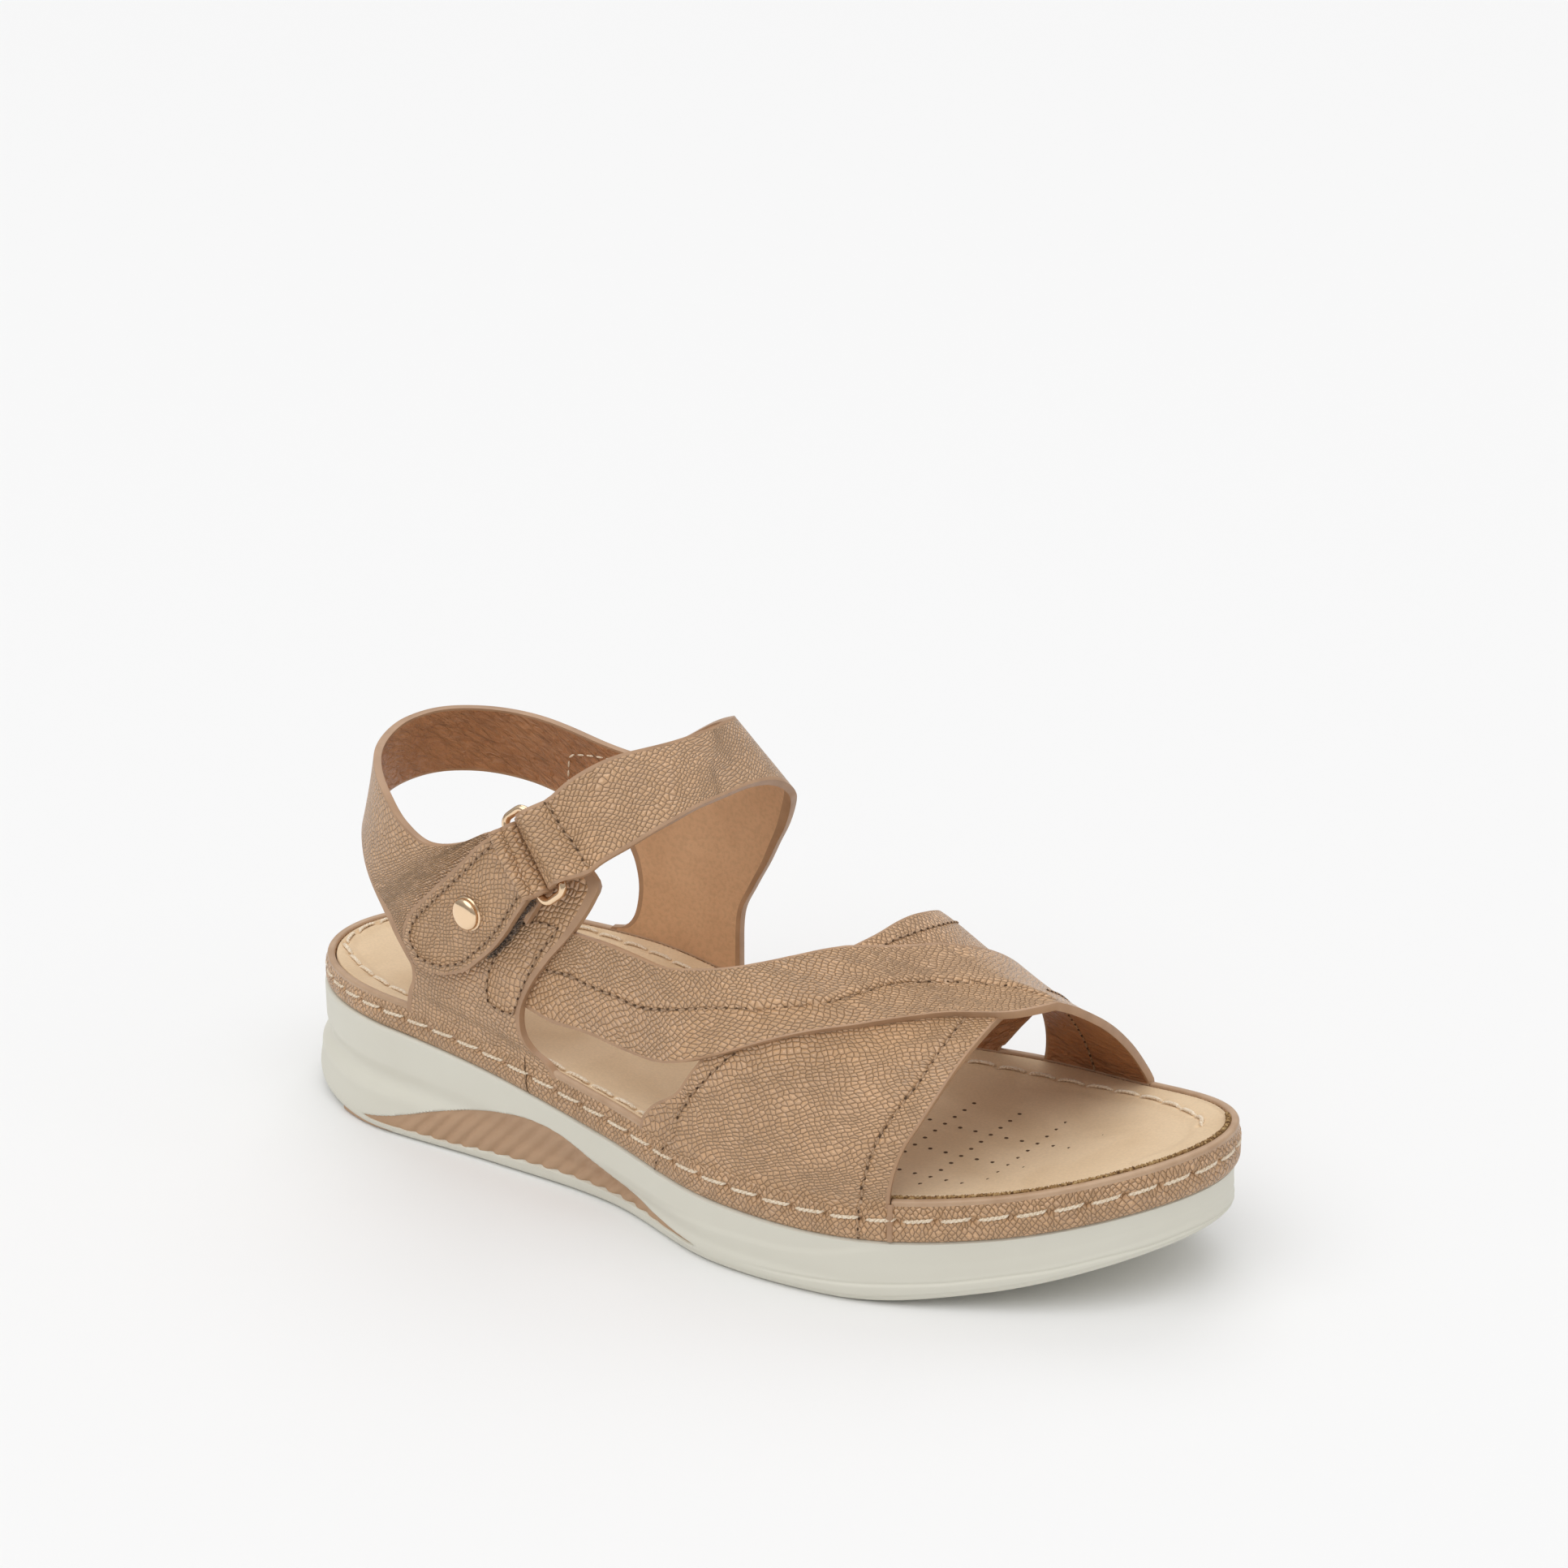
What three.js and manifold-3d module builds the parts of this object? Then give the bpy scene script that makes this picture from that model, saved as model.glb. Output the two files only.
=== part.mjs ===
// Cross strap sandal, right shoe: moulded wedge sole, stitched band, cupped footbed and one open
// leather upper of crossed straps with a slingback and an ankle strap closed by a tab through a ring.
// Millimetres. +X runs from heel to toe, +Y to the inner side of the foot, +Z up from the floor. The
// origin is on the flat underside below the heel.

import * as THREE from 'three';
import { mergeVertices } from 'three/addons/utils/BufferGeometryUtils.js';
import Module from 'manifold-3d';

const wasm = await Module();
wasm.setup();

// Sizes of the foot form
const footbedLength = 250;
const ballWidth = 92;
const heelHeight = 36;
const instepHeight = 80;
const heelTuck = 22;
const heelSeatAlong = 0.2;

// Sizes of the sole
const toeSpring = 16.5;
const soleFlare = 3;
const outsoleHeight = 4;
const outsoleStep = 0.3;
const outsoleRounding = 2.4;
const outsoleShare = 0.2;
const roundingShare = 0.6;
const shankHollow = 2.5;
const hollowMiddle = 0.43;
const hollowReach = 0.17;
const ribPlateHeight = 16;
const ribPlateThickness = 2;
const ribPlateRecess = 0.35;
const ribPitch = 8.6;
const ribDepth = 0.8;
const ribSlant = 0.35;

// Sizes of the band and footbed
const bandHeight = 10;
const bandThickness = 2;
const bandRounding = 0.6;
const footbedThickness = 4;
const footbedDish = 3.2;
const footbedBelowRim = 0.5;

// Sizes of the upper and its fastening
const strapThickness = 2;
const wireRadius = 1;
const cornerRadius = 2.2;
const foldWidth = 18.4;
const foldLength = 7;
const studRadius = 4.4;
const studHeight = 2.2;

// Clearances
const jointGap = 0.3;
const foldGap = 0.38;
const layerSink = 0.35;
const rimSink = 0.1;

// Mesh fineness
const turnSteps = 64;
const strapStep = 7;
const strapColumns = 4;

// A table becomes one smooth curve for each named column after the first, which is the station.
function table(names, rows) {
  const curves = {};
  names.slice(1).forEach((name, index) => {
    curves[name] = smoothCurve(rows.map((row) => row[0]), rows.map((row) => row[index + 1]));
  });
  return curves;
}

function smoothCurve(stations, values) {
  const end = stations.length - 1;
  const chord = (i) => (values[i + 1] - values[i]) / (stations[i + 1] - stations[i]);
  const slopes = stations.map((station, i) => {
    if (i === 0) return chord(0);
    if (i === end) return chord(end - 1);
    const before = station - stations[i - 1];
    const after = stations[i + 1] - station;
    const slope = (chord(i - 1) * after + chord(i) * before) / (before + after);
    const steepest = 3 * Math.min(Math.abs(chord(i - 1)), Math.abs(chord(i)));
    return THREE.MathUtils.clamp(slope, -steepest, steepest);
  });
  return (at) => {
    let i = 0;
    while (i < end - 1 && at > stations[i + 1]) i += 1;
    const width = stations[i + 1] - stations[i];
    const t = (at - stations[i]) / width;
    const rise = t * t * (3 - 2 * t);
    const leave = t * (1 - t) * (1 - t);
    const arrive = t * t * (t - 1);
    const tangents = width * (leave * slopes[i] + arrive * slopes[i + 1]);
    return values[i] * (1 - rise) + values[i + 1] * rise + tangents;
  };
}

// Plan and side of the shoe. along is a share of footbedLength, centre and half are shares of half the
// ball width, rim a share of heelHeight, band of bandHeight, spring of toeSpring, dish of footbedDish.
const shoe = table(
  ['along', 'centre', 'half', 'rim', 'band', 'spring', 'dish'],
  [
    [0.00, 0.000, 0.717, 0.97, 0.70, 0.18, 0.60],
    [0.15, -0.022, 0.739, 1.00, 0.80, 0.00, 1.00],
    [0.30, 0.011, 0.815, 0.944, 0.90, 0.00, 0.80],
    [0.45, -0.043, 0.837, 0.806, 0.95, 0.00, 0.50],
    [0.60, -0.109, 0.946, 0.736, 1.00, 0.00, 0.35],
    [0.72, 0.000, 1.000, 0.708, 1.00, 0.00, 0.35],
    [0.85, 0.109, 0.880, 0.778, 1.00, 0.27, 0.30],
    [1.00, 0.195, 0.803, 1.028, 1.00, 1.00, 0.20],
  ],
);
const heelRound = 0.175;
const toeRound = 0.235;

// Side of the sole, as shares of soleFlare out from the rim: under the band, at the groove, at the
// bulge and at the foot of the side.
const flare = table(
  ['along', 'top', 'groove', 'bulge', 'foot'],
  [
    [0.00, 0.30, -0.05, 0.80, 1.00],
    [0.15, 0.30, 0.05, 0.85, 1.05],
    [0.30, 0.15, 0.00, 0.15, 0.05],
    [0.45, 0.05, -0.30, -0.65, -0.80],
    [0.60, 0.10, 0.00, -0.05, -0.15],
    [0.72, 0.05, 0.05, 0.10, 0.00],
    [0.85, -0.10, -0.05, 0.05, 0.00],
    [1.00, -0.20, -0.15, -0.10, -0.15],
  ],
);

// Sections of the last. height is a share of instepHeight above the rim and skew a share of half the
// ball width towards the inner side. The last two columns are the roundness of each side.
const last = table(
  ['along', 'height', 'skew', 'outer', 'inner'],
  [
    [0.00, 1.375, 0.000, 2.4, 2.4],
    [0.20, 1.375, 0.000, 2.4, 2.4],
    [0.30, 1.225, 0.065, 2.7, 2.7],
    [0.40, 1.000, 0.110, 3.2, 3.2],
    [0.50, 0.762, 0.150, 2.8, 2.8],
    [0.58, 0.625, 0.150, 2.4, 2.4],
    [0.65, 0.545, 0.150, 2.3, 2.2],
    [0.70, 0.475, 0.130, 2.3, 1.85],
    [0.80, 0.390, 0.055, 2.1, 1.35],
    [0.90, 0.325, 0.000, 1.9, 1.25],
    [1.00, 0.270, 0.000, 1.9, 1.25],
  ],
);
const tuckHeight = 0.92;
const tuckReach = 0.3;

// The rim's outline. turn runs from the heel along the inner side to the toe and back, 0 to 1.
function alongAt(turn) {
  return 0.5 - 0.5 * Math.cos(2 * Math.PI * turn);
}

function turnAt(along, side) {
  const turn = Math.acos(1 - 2 * along) / (2 * Math.PI);
  return side > 0 ? turn : 1 - turn;
}

function endRounding(along) {
  const heel = Math.max(0, 1 - along / heelRound);
  const toe = Math.max(0, 1 - (1 - along) / toeRound);
  return Math.sqrt(Math.max(0, 1 - heel * heel - toe * toe));
}

function centreAt(along) {
  return (shoe.centre(along) * ballWidth) / 2;
}

function halfAt(along) {
  return (shoe.half(along) * ballWidth) / 2;
}

function rimAt(along) {
  return shoe.rim(along) * heelHeight;
}

function bandFootAt(along) {
  return rimAt(along) - shoe.band(along) * bandHeight;
}

function groundAt(along) {
  return Math.max(0, shoe.spring(along)) * toeSpring;
}

function rimPoint(turn) {
  const whole = turn - Math.floor(turn);
  const along = alongAt(whole);
  const side = whole < 0.5 ? 1 : -1;
  const y = centreAt(along) + side * halfAt(along) * endRounding(along);
  return new THREE.Vector2(along * footbedLength, y);
}

function outlinePoint(turn, offset) {
  const step = 0.001;
  const travel = rimPoint(turn + step).sub(rimPoint(turn - step)).normalize();
  return rimPoint(turn).add(new THREE.Vector2(-travel.y, travel.x).multiplyScalar(offset));
}

// Closed solids from rings of points that run round the outline, the first and last drawn in to the
// middle line.
function ringSolid(rings) {
  const positions = [];
  const faces = [];
  rings.forEach((ring) => {
    for (let i = 0; i < turnSteps; i += 1) positions.push(...ring(i / turnSteps).toArray());
  });
  for (let j = 0; j < rings.length - 1; j += 1) {
    for (let i = 0; i < turnSteps; i += 1) {
      const next = (i + 1) % turnSteps;
      const low = j * turnSteps;
      const high = low + turnSteps;
      faces.push(low + i, high + i, low + next, low + next, high + i, high + next);
    }
  }
  return closedGeometry(positions, faces);
}

// A ring part way between the middle line and the outline set in by inset.
function innerRing(share, inset, height) {
  return (turn) => {
    const along = alongAt(turn);
    const spine = THREE.MathUtils.clamp(along, heelRound, 1 - toeRound);
    const edge = outlinePoint(turn, -inset);
    const x = THREE.MathUtils.lerp(spine * footbedLength, edge.x, share);
    const y = THREE.MathUtils.lerp(centreAt(spine), edge.y, share);
    const station = THREE.MathUtils.clamp(x / footbedLength, 0, 1);
    return new THREE.Vector3(x, y, height(station, share));
  };
}

function edgeRing(offset, height) {
  return (turn) => {
    const along = alongAt(turn);
    const edge = outlinePoint(turn, offset(along));
    return new THREE.Vector3(edge.x, edge.y, height(along));
  };
}

function closedGeometry(positions, faces) {
  const raw = new THREE.BufferGeometry();
  raw.setAttribute('position', new THREE.Float32BufferAttribute(positions, 3));
  raw.setIndex(faces);
  const merged = mergeVertices(raw, 1e-4);
  const index = Array.from(merged.index.array);
  const kept = [];
  for (let i = 0; i < index.length; i += 3) {
    const [a, b, c] = [index[i], index[i + 1], index[i + 2]];
    if (a !== b && b !== c && c !== a) kept.push(a, b, c);
  }
  if (signedVolume(merged.getAttribute('position'), kept) < 0) kept.reverse();
  merged.setIndex(kept);
  return merged;
}

function signedVolume(position, index) {
  const corner = (i) => new THREE.Vector3().fromBufferAttribute(position, index[i]);
  let sum = 0;
  for (let i = 0; i < index.length; i += 3) sum += corner(i).dot(corner(i + 1).cross(corner(i + 2)));
  return sum;
}

// A closed sheet between two grids of points with the same rows and columns.
function sheetSolid(outer, inner) {
  const rows = outer.length;
  const columns = outer[0].length;
  const positions = [...outer.flat(), ...inner.flat()].flatMap((point) => point.toArray());
  const at = (layer, i, j) => layer * rows * columns + i * columns + j;
  const faces = [];
  const quad = (a, b, c, d) => faces.push(a, b, c, a, c, d);
  for (let i = 0; i < rows - 1; i += 1) {
    for (let j = 0; j < columns - 1; j += 1) {
      quad(at(0, i, j), at(0, i + 1, j), at(0, i + 1, j + 1), at(0, i, j + 1));
      quad(at(1, i, j), at(1, i, j + 1), at(1, i + 1, j + 1), at(1, i + 1, j));
    }
    quad(at(0, i, 0), at(1, i, 0), at(1, i + 1, 0), at(0, i + 1, 0));
    const edge = columns - 1;
    quad(at(0, i, edge), at(0, i + 1, edge), at(1, i + 1, edge), at(1, i, edge));
  }
  for (let j = 0; j < columns - 1; j += 1) {
    quad(at(0, 0, j), at(0, 0, j + 1), at(1, 0, j + 1), at(1, 0, j));
    const edge = rows - 1;
    quad(at(0, edge, j), at(1, edge, j), at(1, edge, j + 1), at(0, edge, j + 1));
  }
  return closedGeometry(positions, faces);
}

// Joining and cutting
function toSolid(geometry) {
  const vertProperties = new Float32Array(geometry.getAttribute('position').array);
  const triVerts = new Uint32Array(geometry.index.array);
  return new wasm.Manifold(new wasm.Mesh({ numProp: 3, vertProperties, triVerts }));
}

function toGeometry(solid) {
  const mesh = solid.getMesh();
  const geometry = new THREE.BufferGeometry();
  geometry.setAttribute('position', new THREE.BufferAttribute(mesh.vertProperties, 3));
  geometry.setIndex(new THREE.BufferAttribute(mesh.triVerts, 1));
  return geometry;
}

// Points on the last, whose inner face lies a little inside the band. side is 1 on the inner side of
// the foot, share the height up the section, lift the distance out from the face.
const lastInset = bandThickness - rimSink;

function formPoint(along, side, share) {
  const height = last.height(along) * instepHeight;
  const roundness = side > 0 ? last.inner(along) : last.outer(along);
  const up = THREE.MathUtils.clamp(share, 0, 1);
  const reach = (1 - up ** roundness) ** (1 / roundness);
  const foot = outlinePoint(turnAt(along, side), -lastInset);
  const x = THREE.MathUtils.lerp(along * footbedLength, foot.x, reach);
  const y = THREE.MathUtils.lerp(centreAt(along), foot.y, reach);
  const skew = (last.skew(along) * ballWidth * up) / 2;
  const lean = Math.sin((Math.PI / 2) * Math.min(1, (up * height) / (tuckHeight * instepHeight)));
  const tuck = heelTuck * lean * Math.max(0, 1 - along / tuckReach);
  return new THREE.Vector3(x + tuck, y + skew, rimAt(along) + share * height);
}

function lifted(point, first, second, lift) {
  const step = 0.001;
  const a = point(first + step, second).sub(point(first - step, second));
  const b = point(first, second + step).sub(point(first, second - step));
  return point(first, second).add(a.cross(b).normalize().multiplyScalar(lift));
}

// Round the last: around is 0 at the outer rim, 1 at the inner rim, and beyond them down the band.
function lastPoint(along, around, lift) {
  const point = (s, a) => {
    const inside = THREE.MathUtils.clamp(a, 0, 1);
    const side = inside > 0.5 ? 1 : -1;
    const roundness = side > 0 ? last.inner(s) : last.outer(s);
    const share = Math.sin(Math.PI * inside) ** (2 / roundness);
    const below = (Math.max(0, -a, a - 1) * bandHeight) / (last.height(s) * instepHeight);
    return formPoint(s, side, share - below);
  };
  return lifted(point, along, around, lift);
}

// Up the wall of the last: turn is negative on the outer side, up a share of instepHeight.
function wallPoint(turn, up, lift) {
  const point = (t, u) => {
    const along = alongAt(Math.abs(t));
    return formPoint(along, Math.sign(t) || 1, u / last.height(along));
  };
  return lifted(point, turn, up, -lift);
}

// Across a strap both edges' values are mixed evenly. Where level is 1 it is the height above the rim
// that is mixed, which keeps a line along the inner wall level instead of rising over it.
function acrossStrap(rear, front, share, level) {
  const along = THREE.MathUtils.lerp(rear[0], front[0], share);
  const even = THREE.MathUtils.lerp(rear[1], front[1], share);
  if (!level) return [along, even];
  const heightAt = ([s, a]) => Math.sin(Math.PI * Math.min(a, 1)) ** (2 / last.inner(s)) * last.height(s);
  const height = THREE.MathUtils.lerp(heightAt(rear), heightAt(front), share) / last.height(along);
  const flat = 1 - Math.asin(Math.min(1, height) ** (last.inner(along) / 2)) / Math.PI;
  return [along, THREE.MathUtils.lerp(even, flat, level)];
}

// A strap is a strip through rows of a rear and a front edge point, with the layer of each, how straight
// the strip lies across and how level. A layer counts whole thicknesses out from the last.
const edgeColumns = [
  'rearAlong', 'rearUp', 'frontAlong', 'frontUp', 'rearLayer', 'frontLayer', 'straight', 'level',
];

function strapGrid(rows, point, columns = strapColumns) {
  const ends = rows.map((row) => [point(row[0], row[1], 0), point(row[2], row[3], 0)]);
  const stations = [0];
  const steps = [];
  for (let i = 1; i < rows.length; i += 1) {
    const rear = ends[i][0].distanceTo(ends[i - 1][0]);
    const front = ends[i][1].distanceTo(ends[i - 1][1]);
    stations.push(stations[i - 1] + (rear + front) / 2 + rimSink);
    steps.push(Math.max(1, Math.round(Math.max(rear, front) / strapStep)));
  }
  const names = ['station', ...edgeColumns.slice(0, rows[0].length)];
  const strap = table(names, rows.map((row, i) => [stations[i], ...row]));
  const samples = [];
  steps.forEach((count, i) => {
    for (let k = 0; k < count; k += 1) {
      samples.push(THREE.MathUtils.lerp(stations[i], stations[i + 1], k / count));
    }
  });
  samples.push(stations[rows.length - 1]);
  return samples.map((at) => {
    const rearEdge = [strap.rearAlong(at), strap.rearUp(at)];
    const frontEdge = [strap.frontAlong(at), strap.frontUp(at)];
    const rear = point(...rearEdge, layerMiddle(strap.rearLayer(at)));
    const front = point(...frontEdge, layerMiddle(strap.frontLayer(at)));
    const level = strap.level ? strap.level(at) : 0;
    const line = [];
    for (let j = 0; j <= columns; j += 1) {
      const share = j / columns;
      const layer = THREE.MathUtils.lerp(strap.rearLayer(at), strap.frontLayer(at), share);
      const curved = point(...acrossStrap(rearEdge, frontEdge, share, level), layerMiddle(layer));
      line.push(curved.lerp(rear.clone().lerp(front, share), strap.straight(at)));
    }
    return line;
  });
}

function layerMiddle(layer) {
  return (layer + 0.5) * strapThickness - layer * layerSink;
}

function strapSolid(grid) {
  const rows = grid.length;
  const columns = grid[0].length;
  const shifted = (distance) => grid.map((line, i) => line.map((middle, j) => {
    const lengthwise = grid[Math.min(i + 1, rows - 1)][j].clone().sub(grid[Math.max(i - 1, 0)][j]);
    const across = line[Math.min(j + 1, columns - 1)].clone().sub(line[Math.max(j - 1, 0)]);
    return lengthwise.cross(across).normalize().multiplyScalar(distance).add(middle);
  }));
  return sheetSolid(shifted(strapThickness / 2), shifted(-strapThickness / 2));
}

// Outer quarter, from the band up to its front lobe. Turn and up of the rear edge, then of the front.
const quarterRows = [
  [-0.1465, -0.050, -0.2180, -0.050, 0, 0, 0],
  [-0.1465, 0.036, -0.2120, 0.012, 0, 0, 0],
  [-0.1470, 0.062, -0.2055, 0.027, 0, 0, 0],
  [-0.1480, 0.088, -0.2015, 0.055, 0, 0, 0],
  [-0.1470, 0.131, -0.2000, 0.125, 0, 0, 0],
  [-0.1430, 0.163, -0.2040, 0.225, 0, 0, 0],
  [-0.1390, 0.191, -0.2110, 0.331, 0, 0, 0],
  [-0.1340, 0.225, -0.2200, 0.450, 0, 0, 0],
  [-0.1300, 0.253, -0.2258, 0.560, 0, 0, 0],
  [-0.1285, 0.262, -0.2270, 0.602, 0, 0, 0],
  [-0.1270, 0.269, -0.2225, 0.644, 0, 0, 0],
  [-0.1240, 0.285, -0.2050, 0.681, 0, 0, 0],
  [-0.1200, 0.304, -0.1850, 0.640, 0, 0, 0],
];

// Slingback, from the quarter round the heel to the inner quarter. Turn and up of the lower edge,
// then of the upper.
const slingRows = [
  [-0.1140, 0.329, -0.1680, 0.573, 0, 0, 0],
  [-0.1060, 0.359, -0.1480, 0.540, 0, 0, 0],
  [-0.0960, 0.394, -0.1300, 0.575, 0, 0, 0],
  [-0.0810, 0.440, -0.1080, 0.638, 0, 0, 0],
  [-0.0600, 0.478, -0.0780, 0.694, 0, 0, 0],
  [-0.0300, 0.513, -0.0400, 0.728, 0, 0, 0],
  [0.0000, 0.530, 0.0000, 0.753, 0, 0, 0],
  [0.0350, 0.533, 0.0350, 0.756, 0, 0, 0],
  [0.0710, 0.514, 0.0700, 0.739, 0, 0, 0],
  [0.1070, 0.474, 0.1050, 0.708, 0, 0, 0],
  [0.1350, 0.428, 0.1350, 0.670, 0, 0, 0],
  [0.1600, 0.390, 0.1620, 0.630, 0, 0, 0],
  [0.1750, 0.369, 0.1780, 0.613, 0, 0, 0],
];

// Inner quarter with its tongue over the slingback, rising into the ankle strap. Along and around of
// the rear edge, then of the front.
const ankleRows = [
  [0.233, 1.40, 0.400, 1.40, 0, 0, 0, 0],
  [0.235, 1.000, 0.399, 1.000, 0, 0, 0, 0],
  [0.262, 0.990, 0.397, 0.986, 0, 0, 0, 1],
  [0.266, 0.978, 0.399, 0.972, 0, 0, 0, 1],
  [0.262, 0.965, 0.413, 0.947, 0.1, 0, 0, 1],
  [0.254, 0.954, 0.428, 0.914, 0.3, 0, 0, 1],
  [0.235, 0.939, 0.442, 0.870, 0.7, 0, 0, 1],
  [0.190, 0.924, 0.455, 0.822, 1, 0, 0, 1],
  [0.158, 0.910, 0.465, 0.772, 1, 0, 0, 1],
  [0.162, 0.893, 0.473, 0.725, 1, 0, 0, 1],
  [0.235, 0.882, 0.477, 0.685, 0.9, 0, 0, 1],
  [0.325, 0.835, 0.480, 0.640, 0.2, 0, 0, 0.8],
  [0.396, 0.710, 0.481, 0.585, 0, 0, 0, 0],
  [0.422, 0.585, 0.480, 0.520, 0, 0, 0, 0],
  [0.423, 0.500, 0.476, 0.440, 0, 0, 0, 0],
  [0.414, 0.410, 0.466, 0.350, 0, 0, 0, 0],
  [0.398, 0.320, 0.449, 0.264, 1, 0.8, 0.3, 0],
  [0.374, 0.227, 0.424, 0.181, 2.9, 2.9, 1, 0],
];

// Over strap, from under the outer quarter across the ball to the inner rim.
const overRows = [
  [0.345, 0.075, 0.312, 0.022, -1, -1, 0],
  [0.385, 0.082, 0.346, 0.015, -1, -1, 0],
  [0.410, 0.092, 0.385, 0.014, -0.5, -0.5, 0],
  [0.439, 0.111, 0.428, 0.022, 0, 0, 0],
  [0.477, 0.139, 0.480, 0.036, 0, 0, 0],
  [0.514, 0.170, 0.533, 0.064, 0, 0.2, 0],
  [0.542, 0.206, 0.579, 0.113, 0, 0.7, 0],
  [0.573, 0.251, 0.635, 0.185, 0.1, 1, 0],
  [0.609, 0.310, 0.689, 0.264, 0.4, 1, 0],
  [0.649, 0.389, 0.755, 0.366, 1, 1, 0],
  [0.683, 0.465, 0.812, 0.435, 1, 0.8, 0],
  [0.712, 0.560, 0.834, 0.530, 1, 0.4, 0],
  [0.727, 0.680, 0.847, 0.660, 1, 0, 0],
  [0.735, 0.800, 0.852, 0.800, 0.6, 0, 0],
  [0.737, 0.900, 0.855, 0.905, 0.1, 0, 0],
  [0.735, 0.970, 0.858, 0.970, 0, 0, 0],
  [0.734, 1.000, 0.859, 1.000, 0, 0, 0],
  [0.733, 1.40, 0.859, 1.40, 0, 0, 0],
];

// Under strap, from the outer rim across the ball the other way.
const underRows = [
  [0.503, -0.40, 0.774, -0.40, 0, 0, 0],
  [0.509, 0.000, 0.774, 0.000, 0, 0, 0],
  [0.514, 0.006, 0.774, 0.004, 0, 0, 0],
  [0.550, 0.043, 0.775, 0.040, 0, 0, 0],
  [0.565, 0.082, 0.779, 0.095, 0, 0, 0],
  [0.583, 0.135, 0.786, 0.146, 0, 0, 0],
  [0.604, 0.205, 0.792, 0.212, 0, 0, 0],
  [0.627, 0.290, 0.796, 0.296, 0, 0, 0],
  [0.649, 0.389, 0.798, 0.385, 0, 0, 0],
  [0.658, 0.480, 0.798, 0.460, 0, 0, 0],
  [0.658, 0.570, 0.790, 0.550, 0, 0, 0],
  [0.652, 0.660, 0.774, 0.650, 0, 0, 0],
  [0.632, 0.760, 0.752, 0.760, 0, 0, 0],
  [0.600, 0.850, 0.729, 0.860, 0, 0, 0],
  [0.562, 0.930, 0.708, 0.930, 0, 0, 0],
  [0.528, 0.985, 0.692, 0.985, 0, 0, 0],
  [0.520, 1.000, 0.687, 1.000, 0, 0, 0],
  [0.519, 1.40, 0.686, 1.40, 0, 0, 0],
];

// Closing tab on the outer wall, from its rounded end to its cross stitch. Along and up of the upper
// edge, then of the lower edge.
const tabRows = [
  [0.194, 0.212, 0.212, 0.160, 1.4, 1.4, 1],
  [0.190, 0.250, 0.243, 0.156, 1.4, 1.4, 1],
  [0.194, 0.302, 0.272, 0.185, 1.4, 1.4, 1],
  [0.224, 0.403, 0.313, 0.285, 1.75, 1.75, 1],
  [0.259, 0.495, 0.338, 0.375, 2.4, 2.4, 1],
  [0.290, 0.573, 0.353, 0.445, 2.9, 2.9, 1],
  [0.322, 0.657, 0.370, 0.520, 3.7, 3.7, 1],
];

// Its return below, from the ring down the wall
const tabReturnRows = [
  [0.322, 0.657, 0.374, 0.510, 1.4, 1.4, 1],
  [0.292, 0.575, 0.359, 0.428, 1.4, 1.4, 1],
];

function outerWall(along, up, lift) {
  return wallPoint(turnAt(along, -1) - 1, up, lift);
}

// The ring lies flat over the wall, between the folds of the ankle strap and of the tab. Along and up
// of the two ends of its long middle line.
const ringEnds = [
  [0.337, 0.730],
  [0.394, 0.545],
];
const foldRadius = wireRadius + foldGap + strapThickness / 2;
const foldReach = foldRadius + strapThickness / 2;
const barSpacing = 2 * foldReach + jointGap;
const ringLift = strapThickness + jointGap + foldReach;

function ringFrame() {
  const [rear, front] = ringEnds.map(([along, up]) => outerWall(along, up, ringLift));
  const centre = rear.clone().lerp(front, 0.5);
  const long = front.clone().sub(rear);
  const length = long.length();
  long.normalize();
  const tabEnd = tabRows[tabRows.length - 1];
  const tabRear = outerWall(tabEnd[0], tabEnd[1], ringLift);
  const tabFront = outerWall(tabEnd[2], tabEnd[3], ringLift);
  const towardsTab = tabRear.lerp(tabFront, 0.5).sub(centre);
  const short = towardsTab.addScaledVector(long, -towardsTab.dot(long)).normalize();
  const out = short.clone().cross(long).normalize();
  if (out.y > 0) out.negate();
  return { centre, long, short, out, length };
}

const ring = ringFrame();

// One line across a strap where it lies round a bar of the ring. side is 1 for the tab's bar and -1 for
// the ankle strap's, angle runs from 0 on the outside to half a turn underneath.
function foldLine(side, angle, back = 0) {
  const middle = ring.centre.clone().addScaledVector(ring.short, (side * barSpacing) / 2);
  middle.addScaledVector(ring.out, foldRadius * Math.cos(angle));
  middle.addScaledVector(ring.short, side * (back - foldRadius * Math.sin(angle)));
  const line = [];
  for (let j = 0; j <= strapColumns; j += 1) {
    line.push(middle.clone().addScaledVector(ring.long, (j / strapColumns - 0.5) * foldWidth));
  }
  return line;
}

function foldLines(side) {
  return [0, 1, 2, 3, 4, 5, 6].map((step) => foldLine(side, (Math.PI * step) / 6));
}

// Lines that lead smoothly from the end of a strap on to a fold, or from a fold on to its return
function leadLines(before, from, to, after) {
  const lines = [];
  for (let step = 1; step < 3; step += 1) {
    lines.push(from.map((start, j) => {
      const end = to[j];
      const reach = start.distanceTo(end) / 3;
      const leave = start.clone().sub(before[j]).setLength(reach).add(start);
      const arrive = end.clone().sub(after[j]).setLength(reach).add(end);
      return new THREE.CubicBezierCurve3(start, leave, arrive, end).getPoint(step / 3);
    }));
  }
  return lines;
}

function ankleGrid() {
  const body = strapGrid(ankleRows, lastPoint);
  const fold = foldLines(-1);
  const lead = leadLines(body[body.length - 2], body[body.length - 1], fold[0], fold[1]);
  const back = [0.5, 1].map((share) => foldLine(-1, Math.PI, share * foldLength));
  return [...body, ...lead, ...fold, ...back];
}

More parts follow.
